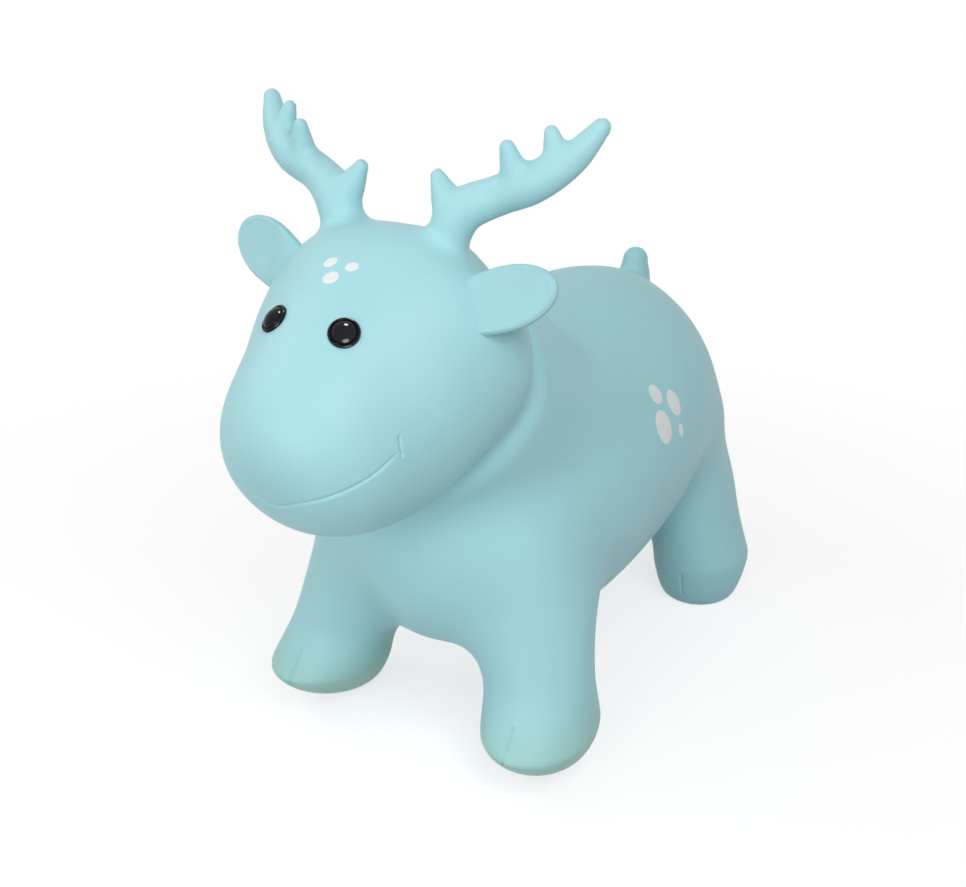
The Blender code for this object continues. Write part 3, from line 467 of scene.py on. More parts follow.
def along_points(points):
    """Some points as an array, and each one's share of the way along them."""
    points = np.array([tuple(point) for point in points])
    steps = np.linalg.norm(np.diff(points, axis=0), axis=1)
    return points, np.concatenate([[0.0], np.cumsum(steps)]) / steps.sum()


def tube(name, points, radii):
    """A tapering round limb along a smooth curve with a round tip."""
    points, stations = along_points(points)
    centres, widths = [], []
    for place in np.linspace(0.0, 1.0, TUBE_RINGS):
        centres.append(Vector(smooth_value(stations, points, place)))
        widths.append(float(smooth_value(stations, radii, place)))
    rows = []
    up = Y_AXIS
    for k, centre in enumerate(centres):
        ahead = (centres[min(k + 1, TUBE_RINGS - 1)] - centres[max(k - 1, 0)]).normalized()
        up = (up - ahead * up.dot(ahead)).normalized()
        across = ahead.cross(up)
        rows.append(oval_ring(centre, across, up, widths[k], widths[k], TUBE_SIDES))
    tip, radius = centres[-1], widths[-1]
    for angle in TUBE_TIP_ANGLES:
        lift, width = (radius * part(math.radians(angle)) for part in (math.sin, math.cos))
        rows.append(oval_ring(tip + ahead * lift, across, up, width, width, TUBE_SIDES))
    return rings_mesh(name, rows, (None, tip + ahead * radius)), stations, points


def antler_point(side, shares):
    """A point of an antler, from its shares of span, sweep and rise."""
    reaches = zip(ANTLER_ROOT, ANTLER_REACH, shares)
    x, back, height = (root + reach * share for root, reach, share in reaches)
    return at(side * x, back, height)


def antler_meshes(side):
    """The beam and the tines of one antler."""
    radii = [ANTLER_BEAM_RADIUS * share for share in ANTLER_BEAM_RADIUS_SHARES]
    points = [antler_point(side, shares) for shares in ANTLER_BEAM_SHARES]
    beam, stations, places = tube("beam", points, radii)
    meshes = [beam]
    for index, share in enumerate(ANTLER_TINE_ROOT_SHARES):
        root = Vector(smooth_value(stations, places, share))
        tip = antler_point(side, ANTLER_TINE_TIP_SHARES[index])
        radii = [ANTLER_TINE_RADIUS * part for part in ANTLER_TINE_RADIUS_SHARES[index]]
        meshes.append(tube("tine", (root, (root + tip) / 2, tip), radii)[0])
    return meshes


def tail_mesh():
    """The tail's stub."""
    along, _ = pitched(TAIL_PITCH)
    root = at(*TAIL_ROOT)
    points = [root, root + along * (TAIL_REACH / 2), root + along * TAIL_REACH]
    return tube("tail_stub", points, [TAIL_RADIUS * share for share in TAIL_RADIUS_SHARES])[0]


def fused(meshes):
    """One closed mesh around several overlapping ones."""
    bm = bmesh.new()
    for mesh in meshes:
        bm.from_mesh(mesh)
    item = link("skin", mesh_from("skin", bm))
    remesh = item.modifiers.new("fuse", "REMESH")
    remesh.mode = "VOXEL"
    remesh.voxel_size = SKIN_VOXEL
    depsgraph = bpy.context.evaluated_depsgraph_get()
    result = bpy.data.meshes.new_from_object(item.evaluated_get(depsgraph))
    bpy.data.objects.remove(item)
    return result


def values_of(items, name, width, kind=float):
    """One property of all vertices, edges or faces as an array, a row for each."""
    values = np.empty(len(items) * width, kind)
    items.foreach_get(name, values)
    return values.reshape(-1, width)


def points_of(mesh):
    """The places of a mesh's vertices as an array."""
    return values_of(mesh.vertices, "co", 3)


def normals_of(mesh):
    """The normals of a mesh's vertices as an array."""
    return values_of(mesh.vertices, "normal", 3)


def face_centres(mesh):
    """The middles of a mesh's faces as an array."""
    return values_of(mesh.polygons, "center", 3)


def relaxed(places, pairs, strength, steps):
    """Places drawn step by step towards the mean of their neighbours, as far as each one's strength."""
    count = len(places)
    first, second = pairs[:, 0], pairs[:, 1]
    degree = np.bincount(first, minlength=count) + np.bincount(second, minlength=count)
    pull = (strength * RELAX_SHARE / degree)[:, None]
    moving = np.flatnonzero(strength > 0)
    keep = np.isin(first, moving) | np.isin(second, moving)
    first, second = first[keep], second[keep]
    for _ in range(steps):
        total = np.empty_like(places)
        for axis in range(3):
            values = places[:, axis]
            total[:, axis] = (
                np.bincount(first, weights=values[second], minlength=count)
                + np.bincount(second, weights=values[first], minlength=count)
            )
        places = places + pull * (total - places * degree[:, None])
    return places


def inside(places, low, high):
    """The indexes of the places between two corners."""
    return np.flatnonzero(((places > low) & (places < high)).all(axis=1))


def nearest(tree, places, reach):
    """How far each place is from a surface, up to a reach."""
    result = np.full(len(places), reach)
    for index, place in enumerate(places):
        hit = tree.find_nearest(place, reach)
        if hit[0] is not None:
            result[index] = hit[3]
    return result


def join_kind(one, other):
    """How the join between two parts is rounded."""
    kinds = {one.split("_")[0], other.split("_")[0]}
    if kinds <= {"antler", "tine"}:
        return "tine"
    if kinds & {"antler", "tine", "tail"}:
        return "root"
    if "head" in kinds:
        return "crease"
    return "broad"


def tree_of(mesh):
    """A search tree over a mesh's faces."""
    return BVHTree.FromPolygons([v.co for v in mesh.vertices], [p.vertices for p in mesh.polygons])


def join_strengths(places, trees):
    """How strongly each place of the fused skin is relaxed, from how near it is to a second part."""
    widest = max(reach for reach, _ in JOINS.values())
    names = list(trees)
    distances = np.full((len(names), len(places)), widest)
    for row, (name, (tree, low, high)) in enumerate(trees.items()):
        close = inside(places, low - widest, high + widest)
        distances[row, close] = nearest(tree, places[close], widest)
    own = distances.argmin(axis=0)
    strength = np.zeros(len(places))
    for one, name in enumerate(names):
        mine = own == one
        for other, second in enumerate(names):
            if other == one:
                continue
            reach, force = JOINS[join_kind(name, second)]
            near = np.clip(1 - distances[other] / reach, 0, 1)
            pull = force * near * near * (3 - 2 * near)
            strength[mine] = np.maximum(strength[mine], pull[mine])
    return strength, own, distances


def body_parts():
    """The closed meshes that the skin is fused from."""
    specs = {"torso": TORSO, "neck": NECK, "shoulder": SHOULDER, "head": HEAD}
    parts = {name: egg(name, spec) for name, spec in specs.items()}
    for word, side in SIDES:
        parts[f"leg_front_{word}"] = leg(side, FRONT_LEG)
        parts[f"leg_rear_{word}"] = leg(side, REAR_LEG)
        beam, *tines = antler_meshes(side)
        parts[f"antler_{word}"] = beam
        for index, tine in enumerate(tines, 1):
            parts[f"tine_{word}_{index}"] = tine
    parts["tail"] = tail_mesh()
    return parts


def make_skin():
    """The whole skin as one fused mesh with rounded joins."""
    parts = body_parts()
    trees = {}
    for name, mesh in parts.items():
        places = points_of(mesh)
        trees[name] = (tree_of(mesh), places.min(axis=0), places.max(axis=0))
    mesh = fused(parts.values())
    places, pairs = points_of(mesh), values_of(mesh.edges, "vertices", 2, int)
    places = relaxed(places, pairs, np.full(len(places), EVEN_STRENGTH), EVEN_STEPS)
    strength, own, distances = join_strengths(places, trees)
    places = relaxed(places, pairs, strength, ROUNDING_STEPS)
    place_points(mesh, places)
    press = crease_press(list(trees), own, distances)
    depth = CREASE_DEPTH * press + press_depth(places)
    places = places - normals_of(mesh) * depth[:, None]
    places = relaxed(places, pairs, CREASE_STRENGTH * press, CREASE_STEPS)
    place_points(mesh, places)
    return mesh, trees


def place_points(mesh, places):
    """Move a mesh's vertices to some places."""
    mesh.vertices.foreach_set("co", places.ravel())
    mesh.update()


def press_depth(places):
    """How deep each place of the skin is drawn in."""
    total = np.zeros(len(places))
    for (x, back, height), depth, reach in PRESSES.values():
        middles = [np.array(at(side * x, back, height)) for _, side in SIDES]
        gaps = [np.linalg.norm(places - middle, axis=1) for middle in middles]
        total += depth * np.exp(-((np.minimum(*gaps) / reach) ** 2))
    return total


def crease_press(names, own, distances):
    """How far each place is pressed in, as a share: the head rolls under where it meets the body."""
    head = names.index("head")
    others = [names.index(name) for name in ("neck", "shoulder", "torso")]
    on_head, on_body = own == head, np.isin(own, others)
    gap = np.where(on_head, distances[others].min(axis=0), distances[head])
    width = np.where(on_head, *CREASE_WIDTHS)
    return np.where(on_head | on_body, np.exp(-((gap / width) ** 2)), 0.0)


def carved(mesh, grooves):
    """The mesh with fine faces along some grooves, and the grooves pressed into it."""
    bm = bmesh.new()
    bm.from_mesh(mesh)
    for curve, depth, width in grooves:
        tree = KDTree(len(curve))
        for index, point in enumerate(curve):
            tree.insert(point, index)
        tree.balance()
        for reach in GROOVE_REACHES:
            near = {v for v, _, _ in near_curve(bm, curve, tree, reach)}
            edges = {edge for v in near for edge in v.link_edges if edge.other_vert(v) in near}
            inner = sorted(edges, key=lambda edge: edge.index)
            bmesh.ops.subdivide_edges(bm, edges=inner, cuts=1, use_grid_fill=True)
            wide = [face for face in bm.faces if len(face.verts) > 4]
            bmesh.ops.triangulate(bm, faces=wide)
            bm.verts.index_update()
            bm.edges.index_update()
        bm.normal_update()
        last = len(curve) - 1
        for v, index, distance in near_curve(bm, curve, tree, GROOVE_REACHES[-1] * 2):
            fade = min(1.0, index / last / GROOVE_FADE, (last - index) / last / GROOVE_FADE)
            v.co -= v.normal * (depth * fade * math.exp(-((distance / width) ** 2)))
    bm.to_mesh(mesh)
    bm.free()
    mesh.update()
    return mesh


def near_curve(bm, curve, tree, reach):
    """The vertices near a curve, each with its nearest curve point and its distance."""
    points = np.array([tuple(point) for point in curve])
    places = np.array([v.co[:] for v in bm.verts])
    bm.verts.ensure_lookup_table()
    found = []
    for index in inside(places, points.min(axis=0) - reach, points.max(axis=0) + reach):
        v = bm.verts[index]
        _, nearest_index, distance = tree.find(v.co)
        if distance < reach:
            found.append((v, nearest_index, distance))
    return found


def curve_on(tree, points, count):
    """A smooth curve through some places, laid on the skin."""
    points, stations = along_points(points)
    places = [Vector(smooth_value(stations, points, place)) for place in np.linspace(0, 1, count)]
    return [tree.find_nearest(place)[0] for place in places]


def groove_curves(tree):
    """The mouth, its two upturned ends and the cleft of each hoof."""
    half = [at(*point) for point in MOUTH_POINTS]
    mirror = [Vector((-p.x, p.y, p.z)) for p in half[:0:-1]]
    grooves = [(curve_on(tree, mirror + half, MOUTH_STEPS), MOUTH_DEPTH, MOUTH_WIDTH)]
    for _, side in SIDES:
        tick = [at(side * x, back, height) for x, back, height in MOUTH_TICK]
        grooves.append((curve_on(tree, tick, TICK_STEPS), MOUTH_DEPTH, MOUTH_WIDTH))
        for spec in (FRONT_LEG, REAR_LEG):
            toe = spec["back"] - spec["half_length"]
            points = [at(side * spec["track"], toe, height) for height in spec["cleft_heights"]]
            grooves.append((curve_on(tree, points, CLEFT_STEPS), CLEFT_DEPTH, CLEFT_WIDTH))
    return grooves


def piece_of(name, mesh, faces, material):
    """A piece made of some of the skin's faces, shaded as one with the rest."""
    normals = normals_of(mesh)
    used = sorted({index for face in faces for index in mesh.polygons[face].vertices})
    lookup = {old: new for new, old in enumerate(used)}
    part = bpy.data.meshes.new(name)
    part.from_pydata(
        [mesh.vertices[index].co for index in used], [],
        [[lookup[index] for index in mesh.polygons[face].vertices] for face in faces],
    )
    part.shade_smooth()
    part.normals_split_custom_set_from_vertices([tuple(normals[index]) for index in used])
    sole = part.attributes.new("sole", "FLOAT", "POINT")
    places = points_of(part)
    share = np.clip((SOLE_HEIGHT - places[:, 2]) / SOLE_FADE, 0, 1) * (places[:, 1] < SOLE_BACK_END)
    sole.data.foreach_set("value", (share * share * (3 - 2 * share)).astype(np.float32))
    part.materials.append(material)
    return link(name, part)


def flood(mesh, allowed, seed):
    """The allowed faces that are joined to the face nearest a seed point."""
    corners = [polygon.vertices for polygon in mesh.polygons]
    centres = face_centres(mesh)
    group = np.flatnonzero(allowed)
    around = {}
    for face in group:
        for index in corners[face]:
            around.setdefault(index, []).append(face)
    start = group[np.linalg.norm(centres[group] - np.array(seed), axis=1).argmin()]
    found, queue = {start}, [start]
    while queue:
        for index in corners[queue.pop()]:
            for face in around[index]:
                if face not in found:
                    found.add(face)
                    queue.append(face)
    return sorted(found)


def away_from(mesh, tree, box, reach):
    """Which faces inside a box are at least a reach off a surface."""
    centres = face_centres(mesh)
    close = inside(centres, *box)
    allowed = np.zeros(len(centres), bool)
    allowed[close] = nearest(tree, centres[close], reach) >= reach
    return allowed


def room(centre, half):
    """The lowest and highest corner of the room around a centre."""
    centre = np.array(centre)
    return centre - half, centre + half


def parted(mesh, trees):
    """Which faces of the skin go with which piece."""
    groups = {}
    low = face_centres(mesh)[:, 2] < LEG_CUT_HEIGHT
    for word, side in SIDES:
        for place, spec in (("front", FRONT_LEG), ("rear", REAR_LEG)):
            sole = at(side * spec["track"], spec["back"] + spec["sole_shift"], 0.0)
            groups[f"{place}_{word}_leg"] = flood(mesh, low, sole)
        box = room(antler_point(side, (0.5, 0.5, 0.5)), np.array(ANTLER_REACH) / 2 + ANTLER_ROOM)
        antler = away_from(mesh, trees["head"][0], box, ANTLER_CUT)
        groups[f"antler_{word}"] = flood(mesh, antler, antler_point(side, (1.0, 1.0, 1.0)))
    tip = at(*TAIL_ROOT) + Vector(TAIL_TIP_SHARES) * TAIL_REACH
    tail = away_from(mesh, trees["torso"][0], room(tip, TAIL_ROOM), TAIL_CUT)
    groups["tail"] = flood(mesh, tail, tip)
    return groups


def fill(tree, node, inputs):
    """A node with each of some inputs set to a value or linked to a socket."""
    for name, value in inputs.items():
        if isinstance(value, bpy.types.NodeSocket):
            tree.links.new(value, node.inputs[name])
        else:
            node.inputs[name].default_value = value
    return node


def add(tree, kind, inputs=None, operation=None):
    """A new shader node of a kind, with its inputs filled."""
    node = tree.nodes.new(f"ShaderNode{kind}")
    if operation:
        node.operation = operation
    return fill(tree, node, inputs or {})


def new_material(name):
    """A new material with its node tree, its shader and its coordinates."""
    material = bpy.data.materials.new(name)
    material.use_nodes = True
    tree = material.node_tree
    return material, tree, tree.nodes["Principled BSDF"], add(tree, "TexCoord")


def vinyl(name, roughness, painted_shade=1.0):
    """Satin air-filled vinyl: a faint mottle in colour and sheen and a fine pebble, its colour darkened as
    painted shade by a share below one.
    """
    material, tree, shader, place = new_material(name)
    tint = add(tree, "Attribute")
    tint.attribute_name = "sole"
    base = mixed(tree, tint.outputs["Fac"], VINYL_BLUE, SOLE_BLUE)
    mottle = noise(tree, place, *VINYL_MOTTLE)
    # A share below one darkens the whole copy of the vinyl: painted shade
    shade = ranged(tree, mottle, (1 - VINYL_SHADE) * painted_shade, (1 + VINYL_SHADE) * painted_shade)
    colour = add(tree, "VectorMath", {0: base, "Scale": shade}, "SCALE")
    sheen = noise(tree, place, *VINYL_SHEEN)
    fill(tree, shader, {
        "Base Color": colour.outputs["Vector"],
        "Roughness": ranged(tree, sheen, roughness - VINYL_SHEEN_SPREAD, roughness + VINYL_SHEEN_SPREAD),
        "Normal": relief(tree, place, VINYL_RELIEF),
        "Coat Weight": VINYL_COAT[0],
        "Coat Roughness": VINYL_COAT[1],
    })
    return material


def noise(tree, place, scale, detail):
    """The value of a noise on the object's own coordinates."""
    inputs = {"Scale": scale, "Detail": detail, "Vector": place.outputs["Object"]}
    return add(tree, "TexNoise", inputs).outputs["Fac"]


def ranged(tree, value, low, high, start=0.0):
    """A value that runs from a start to one, spread from low to high."""
    inputs = {"Value": value, "From Min": start, "To Min": low, "To Max": high}
    return add(tree, "MapRange", inputs).outputs["Result"]


def mixed(tree, factor, first, second):
    """A colour between two, by a factor."""
    node = add(tree, "Mix")
    node.data_type = "RGBA"
    return fill(tree, node, {0: factor, 6: (*first, 1.0), 7: (*second, 1.0)}).outputs[2]


def relief(tree, place, layers):
    """A normal with bumps of some scales, each layer (scale, strength, distance)."""
    normal = None
    for scale, strength, distance in layers:
        height = noise(tree, place, scale, RELIEF_DETAIL)
        inputs = {"Strength": strength, "Distance": distance, "Height": height}
        bump = add(tree, "Bump", inputs)
        if normal:
            tree.links.new(normal, bump.inputs["Normal"])
        normal = bump.outputs["Normal"]
    return normal


def plain(name, colour, roughness, specular=0.5):
    """Paint or hard plastic with a faint mottle."""
    material, tree, shader, place = new_material(name)
    mottle = noise(tree, place, *PLAIN_MOTTLE)
    dark = tuple(part * PLAIN_DARK_SHARE for part in colour)
    fill(tree, shader, {
        "Base Color": mixed(tree, mottle, dark, colour),
        "Roughness": ranged(tree, mottle, *(roughness * share for share in PLAIN_ROUGHNESS_SHARES)),
        "Normal": relief(tree, place, PLAIN_RELIEF),
        "Specular IOR Level": specular,
    })
    return material


def lathe(name, profile, matrix, sides, material, closed=False):
    """A round piece turned from a profile of (radius, height); a closed profile makes a hollow ring."""
    turns = [2 * math.pi * i / sides for i in range(sides)]
    rings = [
        [matrix @ Vector((radius * math.cos(t), radius * math.sin(t), height)) for t in turns]
        for radius, height in profile
    ]
    return finished(name, rings_mesh(name, rings, closed=closed), material)


def frame_at(point, direction, hint):
    """A frame at a point with Z along a direction and Y near a hint."""
    z = direction.normalized()
    x = hint.cross(z).normalized()
    y = z.cross(x)
    turn = Matrix((x, y, z)).transposed().to_4x4()
    return Matrix.Translation(point) @ turn


def make_ear(word, side, material):
    """A paddle with a thick rounded rim and a dish in front, its root sunk into the head."""
    root_lift, tip_lift = EAR_LIFTS[word]
    root = at(side * EAR_ROOT[0], EAR_ROOT[1], EAR_ROOT[2] + root_lift)
    up = Vector((side * EAR_SLANT[0], EAR_SLANT[1], EAR_SLANT[2])).normalized()
    reach = Vector((side * EAR_REACH[0], EAR_REACH[1], EAR_REACH[2] + tip_lift))
    out = (reach - up * reach.dot(up)).normalized()
    front = out.cross(up).normalized() * side
    axes, length = (root, out, up, front), reach.length
    rings = []
    for k in range(EAR_RINGS):
        place = math.sin(math.pi / 2 * k / EAR_RINGS)
        if place < EAR_WIDEST_SHARE:
            bulge = math.sin(math.pi / 2 * place / EAR_WIDEST_SHARE)
            wide = EAR_ROOT_SHARE + (1 - EAR_ROOT_SHARE) * bulge
        else:
            wide = math.sqrt(1 - ((place - EAR_WIDEST_SHARE) / (1 - EAR_WIDEST_SHARE)) ** 2)
        rings.append(ear_ring(*axes, place * length, wide, place))
    sunk = ear_ring(*axes, -EAR_SINK, EAR_ROOT_SHARE * EAR_SUNK_SHARE, 0.0)
    mesh = rings_mesh(f"ear_skin_{word}", [sunk, *rings], (None, root + out * length))
    ear = finished(f"ear_skin_{word}", mesh, material)
    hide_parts(f"ear_{word}")
    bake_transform(ear)


def ear_ring(root, out, up, front, reach, wide, place):
    """One ring round an ear: flat faces, a rounded edge, and in front a shallow dish inside a fine rim."""
    half_width = EAR_HALF_WIDTH * wide
    half_depth = EAR_THICKNESS / 2 * math.sqrt(wide)
    sink = EAR_DISH * math.sin(math.pi * min(1.0, place + EAR_DISH_LEAD)) * wide
    swell = EAR_SWELL * max(0.0, 1 - place / EAR_SWELL_END) ** 2
    beyond = max(0.0, (place - EAR_WIDEST_SHARE) / (1 - EAR_WIDEST_SHARE))
    ring = []
    for i in range(EAR_SIDES):
        turn = 2 * math.pi * i / EAR_SIDES
        cosine, sine = math.cos(turn), math.sin(turn)
        stretch = (abs(cosine) ** EAR_FACE_POWER + abs(sine) ** EAR_FACE_POWER) ** (-1 / EAR_FACE_POWER)
        depth = half_depth * sine * stretch
        if depth > 0:
            across = abs(cosine) * stretch
            inset = EAR_HALF_WIDTH * (1 - math.hypot(beyond, across * wide) if beyond else 1 - across)
            rim = math.exp(-(((inset - EAR_RIM_INSET) / EAR_RIM_WIDTH) ** 2))
            depth += abs(sine) * (swell + EAR_RIM_LIFT * rim) - sink * abs(sine) ** 3
        ring.append(root + out * reach + up * (half_width * cosine * stretch) + front * depth)
    return ring


def make_eye(word, side, tree, material):
    """A thick round ring with a glossy dome inside it."""
    start = at(side * EYE_HALF_SPAN, -RAY_BESIDE, EYE_HEIGHT)
    point, normal, _, _ = tree.ray_cast(start, Y_AXIS)
    matrix = frame_at(point, normal, Z_AXIS)
    profile = [EYE_FOOT]
    middle, lift = EYE_RING_CENTRE
    for step in range(EYE_RING_STEPS + 1):
        turn = math.pi * step / EYE_RING_STEPS
        across, rise = (EYE_RING_RADIUS * part(turn) for part in (math.cos, math.sin))
        profile.append((middle + across, lift + rise))
    for step in range(EYE_DOME_STEPS + 1):
        turn = math.pi / 2 * step / EYE_DOME_STEPS
        rise = EYE_DOME_FOOT + (EYE_DOME_HEIGHT - EYE_DOME_FOOT) * math.sin(turn)
        profile.append((max(EYE_DOME_RADIUS * math.cos(turn), EYE_POLE_RADIUS), rise))
    eye = lathe(f"eye_dome_{word}", profile, matrix, EYE_SIDES, material)
    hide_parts(f"eye_{word}")
    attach(eye, "body")
    return eye


def make_spot(names, tree, start, direction, up, half_sizes, tilt, material):
    """A thin oval film laid on the skin, with the names of the piece and of its node."""
    name, node = names
    point, normal, _, _ = tree.ray_cast(start, direction)
    turn = Matrix.Rotation(math.radians(tilt), 4, normal)
    vertical = turn @ (up - normal * normal.dot(up)).normalized()
    across = vertical.cross(normal).normalized()
    wide, tall = half_sizes
    rings = []
    for k in range(1, SPOT_RINGS + 1):
        share = k / SPOT_RINGS
        lift = SPOT_FILM * math.sqrt(max(0.0, 1 - share ** SPOT_EDGE_POWER)) - SPOT_SINK
        ring = []
        for place in oval_ring(point, across, vertical, wide * share, tall * share, SPOT_SIDES):
            hit, slope, _, _ = tree.ray_cast(place + normal * SPOT_RAY, -normal)
            ring.append(hit + slope * lift)
        rings.append(ring)
    hit, slope, _, _ = tree.ray_cast(point + normal * SPOT_RAY, -normal)
    mesh = bpy.data.meshes.new(name)
    vertices = [hit + slope * SPOT_FILM, *[p for ring in rings for p in ring]]
    faces = [(0, 1 + i, 1 + (i + 1) % SPOT_SIDES) for i in range(SPOT_SIDES)]
    for k in range(SPOT_RINGS - 1):
        base = 1 + k * SPOT_SIDES
        for i in range(SPOT_SIDES):
            j = (i + 1) % SPOT_SIDES
            faces.append((base + i, base + SPOT_SIDES + i, base + SPOT_SIDES + j, base + j))
    mesh.from_pydata(vertices, [], faces)
    spot = finished(name, mesh, material)
    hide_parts(node)
    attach(spot, "body")


def make_spots(tree, material):
    """Three ovals on the forehead and four on each flank."""
    for index, (place, size, tilt) in enumerate(FOREHEAD_SPOTS, 1):
        x, back = (FOREHEAD_SPREAD * share for share in place)
        start = at(x, FOREHEAD_SPOTS_BACK + back, RAY_ABOVE)
        halves = [FOREHEAD_HALF_SIZE * share for share in size]
        names = (f"forehead_oval_{index}", f"forehead_spot_{index}")
        make_spot(names, tree, start, -Z_AXIS, Y_AXIS, halves, tilt, material)
    for word, side in SIDES:
        for index, (place, size, tilt) in enumerate(FLANK_SPOTS, 1):
            back, height = (c + FLANK_SPREAD * share for c, share in zip(FLANK_SPOTS_CENTRE, place))
            start = at(side * RAY_BESIDE, back, height)
            halves = [FLANK_HALF_SIZE * share for share in size]
            names = (f"{word}_flank_oval_{index}", f"{word}_flank_spot_{index}")
            make_spot(names, tree, start, X_AXIS * -side, Z_AXIS, halves, side * tilt, material)


def rounded(corners, radius):
    """A profile with its corners cut by small arcs."""
    result = [corners[0]]
    for before, here, after in zip(corners, corners[1:], corners[2:]):
        here = Vector(here)
        start, finish = Vector(before) - here, Vector(after) - here
        cut = min(radius, start.length / CORNER_ROOM, finish.length / CORNER_ROOM)
        one, two = here + start.normalized() * cut, here + finish.normalized() * cut
        for step in range(CORNER_STEPS + 1):
            t = step / CORNER_STEPS
            result.append(tuple(one * (1 - t) ** 2 + here * (2 * t * (1 - t)) + two * t * t))
    result.append(corners[-1])
    return result


def valve_frame(tree):
    """The valve's own frame, with Z pointing down out of the belly along the stopper's joint."""
    joint = next(joint for joint in frame["joints"] if joint["name"] == "valve_plug_pull")
    low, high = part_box("valve_plug")
    middle = (low + high) / 2
    point, _, _, _ = tree.ray_cast(Vector((middle.x, middle.y, RAY_FLOOR)), Z_AXIS)
    return frame_at(point, Vector(joint["axis"]), X_AXIS)


def make_valve(matrix, material):
    """The flanged inlet with its bore and the stopper that presses into it."""
    flange, outer, bore = VALVE_FLANGE_RADIUS, VALVE_TUBE_RADIUS, VALVE_BORE_RADIUS
    end, back, face = VALVE_HEIGHTS
    corners = [(outer, end), (outer, back), (flange, back), (flange, face), (bore, face), (bore, end)]
    profile = rounded(corners, VALVE_ROUNDING)
    insert = lathe("valve_inlet", profile, matrix, VALVE_SIDES, material, closed=True)
    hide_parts("valve_insert")
    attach(insert, "body")
    shaft = bore - STOPPER_CLEARANCE
    pole, nose, head, rim, dish = STOPPER_RADII
    tip, taper, under, top, floor = STOPPER_HEIGHTS
    corners = [
        (pole, tip), (nose, tip), (shaft, taper), (shaft, under), (head, under),
        (head, top), (rim, top), (dish, floor), (pole, floor),
    ]
    plug = lathe("valve_stopper", rounded(corners, STOPPER_ROUNDING), matrix, VALVE_SIDES, material)
    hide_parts("valve_plug")
    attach(plug, "valve_plug")


def away_at(azimuth, elevation):
    """The direction away from the object at an azimuth, where zero is in front, and an elevation."""
    turn, lift = math.radians(azimuth), math.radians(elevation)
    return Vector((math.sin(turn) * math.cos(lift), -math.cos(turn) * math.cos(lift), math.sin(lift)))


def aimed(name, data, place, away):
    """A new lamp or camera at a place, looking against a direction."""
    item = link(name, data)
    item.location = place
    item.rotation_euler = (-away).to_track_quat("-Z", "Y").to_euler()
    return item


def lay_light(name, angles, distance, target, size, power, colour):
    """A round soft lamp that looks at a point."""
    away = away_at(*angles)
    lamp = bpy.data.lights.new(name, "AREA")
    lamp.shape = "DISK"
    lamp.size = size
    lamp.energy = power
    lamp.color = colour
    item = aimed(name, lamp, Vector(target) + away * distance, away)
    item.visible_camera = False
    return item


def seen_rays(tree):
    """One for rays that come from the camera, a mirror or glass, else zero."""
    path = add(tree, "LightPath")
    result = path.outputs["Is Camera Ray"]
    for name in ("Is Glossy Ray", "Is Transmission Ray"):
        result = add(tree, "Math", {0: result, 1: path.outputs[name]}, "MAXIMUM").outputs[0]
    return result


def mixed_shader(tree, factor, first, second):
    """A shader between two, by a factor."""
    inputs = {0: factor, 1: first.outputs[0], 2: second.outputs[0]}
    return add(tree, "MixShader", inputs)


def valve_hole(mesh, matrix):
    """The faces of the belly that the valve's bore takes out."""
    local = matrix.inverted()
    centres = face_centres(mesh)
    hole = set()
    for index in np.flatnonzero(centres[:, 2] < VALVE_CUT_TOP):
        spot = local @ Vector(centres[index])
        if math.hypot(spot.x, spot.y) < VALVE_CUT_RADIUS and abs(spot.z) < VALVE_CUT_REACH:
            hole.add(index)
    return hole


def make_skin_pieces(mesh, trees, matrix, material, hoof_material):
    """The skin as one body piece on the body, and four feet, two antlers and a tail."""
    groups = parted(mesh, trees)
    taken = valve_hole(mesh, matrix).union(*groups.values())
    rest = [index for index in range(len(mesh.polygons)) if index not in taken]
    body = piece_of("body_skin", mesh, rest, material)
    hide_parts("torso_skin", "neck_skin", "head_skin")
    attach(body, "body")
    for word, side in SIDES:
        for place in ("front", "rear"):
            foot = piece_of(f"{place}_{word}_foot", mesh, groups[f"{place}_{word}_leg"], hoof_material)
            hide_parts(f"{place}_{word}_leg", f"{place}_{word}_hoof")
            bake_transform(foot)
        node = f"antler_{word}"
        root, knee = (antler_point(side, shares) for shares in ANTLER_BEAM_SHARES[:2])
        make_limb(f"antler_skin_{word}", mesh, groups[node], material, node)
    make_limb("tail_skin", mesh, groups["tail"], material, "tail")


def make_limb(name, mesh, faces, material, body):
    """A limb cut from the skin, standing in for its node."""
    limb = piece_of(name, mesh, faces, material)
    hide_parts(body)
    bm = bmesh.new()
    bm.from_mesh(limb.data)
    bm.free()
    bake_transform(limb)


def make_world():
    """A white background that lights the object softly, and less from one side."""
    world = bpy.data.worlds.new("studio")
    bpy.context.scene.world = world
    world.use_nodes = True
    tree = world.node_tree
    tree.nodes.clear()
    place = add(tree, "TexCoord")
    inputs = {0: place.outputs["Generated"], 1: WORLD_DIM_SIDE}
    facing = add(tree, "VectorMath", inputs, "DOT_PRODUCT").outputs["Value"]
    level = ranged(tree, facing, *(WORLD_LEVEL * share for share in WORLD_SIDE_SHARES), start=-1.0)
    seen = add(tree, "Background", {"Color": (1.0, 1.0, 1.0, 1.0)})
    light = add(tree, "Background", {"Color": (*WORLD_TINT, 1.0), "Strength": level})
    shown = mixed_shader(tree, seen_rays(tree), light, seen)
    add(tree, "OutputWorld", {"Surface": shown.outputs[0]})


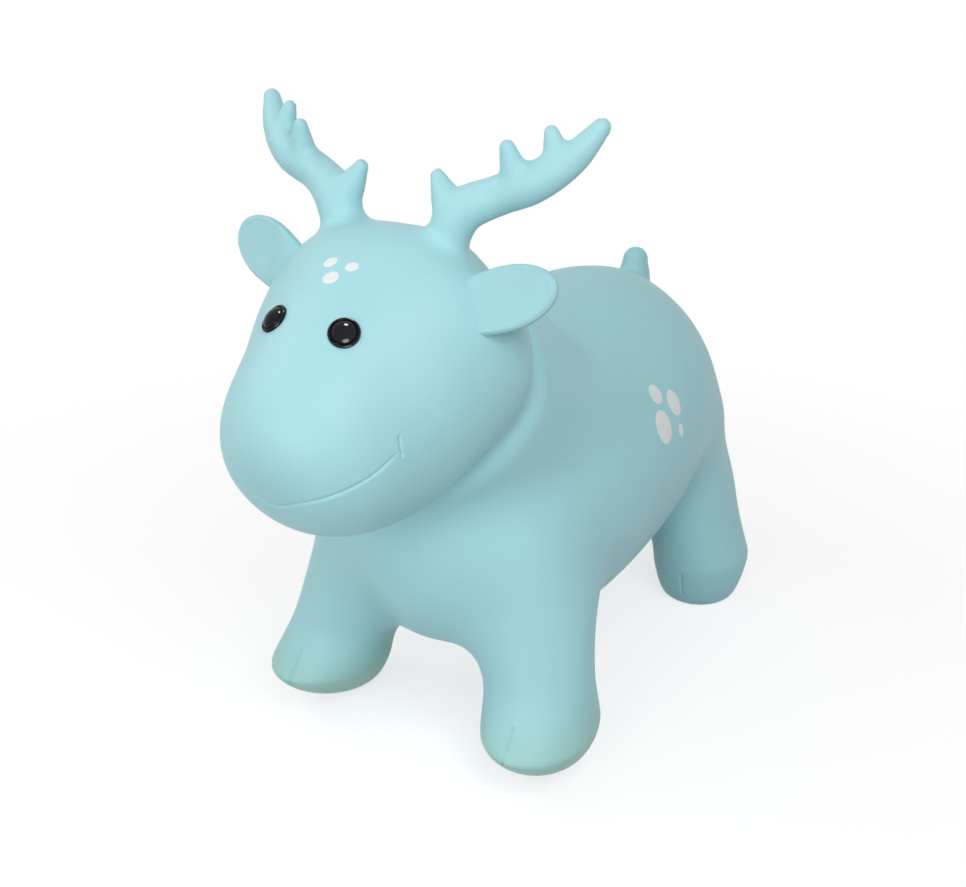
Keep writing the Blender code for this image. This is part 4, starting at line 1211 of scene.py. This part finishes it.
def make_floor():
    """A pale floor that keeps the object's soft shadow and fades to the white background."""
    bm = bmesh.new()
    bmesh.ops.create_grid(bm, x_segments=2, y_segments=2, size=FLOOR_HALF_SIZE)
    floor = link("floor", mesh_from("floor", bm))
    floor.location = (0.0, 0.0, FLOOR_DROP)
    material, tree, shader, place = new_material("pale_floor")
    dim = tuple(part * FLOOR_DARK_SHARE for part in FLOOR_WHITE)
    fill(tree, shader, {
        "Base Color": mixed(tree, noise(tree, place, *FLOOR_GRAIN), dim, FLOOR_WHITE),
        "Roughness": FLOOR_ROUGHNESS,
        "Specular IOR Level": 0.0,
    })
    glow = add(tree, "Emission", {"Strength": FLOOR_GLOW})
    lifted = add(tree, "AddShader", {0: shader.outputs[0], 1: glow.outputs[0]})
    white = add(tree, "Emission")
    far = add(tree, "VectorMath", {0: place.outputs["Object"]}, "LENGTH").outputs["Value"]
    start, end = FLOOR_FADE
    fade = add(tree, "MapRange", {"Value": far, "From Min": start, "From Max": end})
    fade.interpolation_type = "SMOOTHSTEP"
    shown = mixed_shader(tree, fade.outputs["Result"], lifted, white)
    final = mixed_shader(tree, seen_rays(tree), shader, shown)
    fill(tree, tree.nodes["Material Output"], {"Surface": final.outputs[0]})
    floor.data.materials.append(material)


def make_camera():
    """The camera at the photograph's angle."""
    data = bpy.data.cameras.new("photo_camera")
    data.lens = CAMERA_LENS
    data.sensor_width = CAMERA_SENSOR
    data.sensor_fit = "HORIZONTAL"
    data.dof.use_dof = False
    away = away_at(CAMERA_AZIMUTH, CAMERA_ELEVATION)
    bpy.context.scene.camera = aimed("photo_camera", data, CAMERA_PLACE, away)


def main():
    """Make the materials, the pieces, the room, the light and the camera."""
    bpy.context.scene.view_settings.view_transform = "Standard"
    body_vinyl = vinyl("body_vinyl", VINYL_ROUGHNESS)
    # The ears get a darker copy of the same vinyl: painted shade
    ear_vinyl_painted_shade = vinyl("ear_vinyl_painted_shade", VINYL_ROUGHNESS, EAR_PAINTED_SHADE)
    foot_vinyl = vinyl("foot_vinyl", FOOT_ROUGHNESS)
    paint = plain("white_paint", SPOT_WHITE, SPOT_ROUGHNESS)
    black = plain("black_gloss", EYE_BLACK, EYE_ROUGHNESS, specular=EYE_SPECULAR)
    white = plain("valve_plastic", VALVE_WHITE, VALVE_ROUGHNESS)
    mesh, trees = make_skin()
    mesh = carved(mesh, groove_curves(tree_of(mesh)))
    tree = tree_of(mesh)
    matrix = valve_frame(tree)
    make_spots(tree, paint)
    eyes = [make_eye(word, side, tree, black) for word, side in SIDES]
    for word, side in SIDES:
        make_ear(word, side, ear_vinyl_painted_shade)
    make_valve(matrix, white)
    make_skin_pieces(mesh, trees, matrix, body_vinyl, foot_vinyl)
    make_world()
    make_floor()
    for lamps, state in ((LAMPS, "EXCLUDE"), (EYE_LAMPS, "INCLUDE")):
        receivers = bpy.data.collections.new(f"eyes_{state.lower()}d")
        for eye in eyes:
            receivers.objects.link(eye)
        for entry in receivers.collection_objects:
            entry.light_linking.link_state = state
        for light in lamps:
            lay_light(*light).light_linking.receiver_collection = receivers
    make_camera()


main()
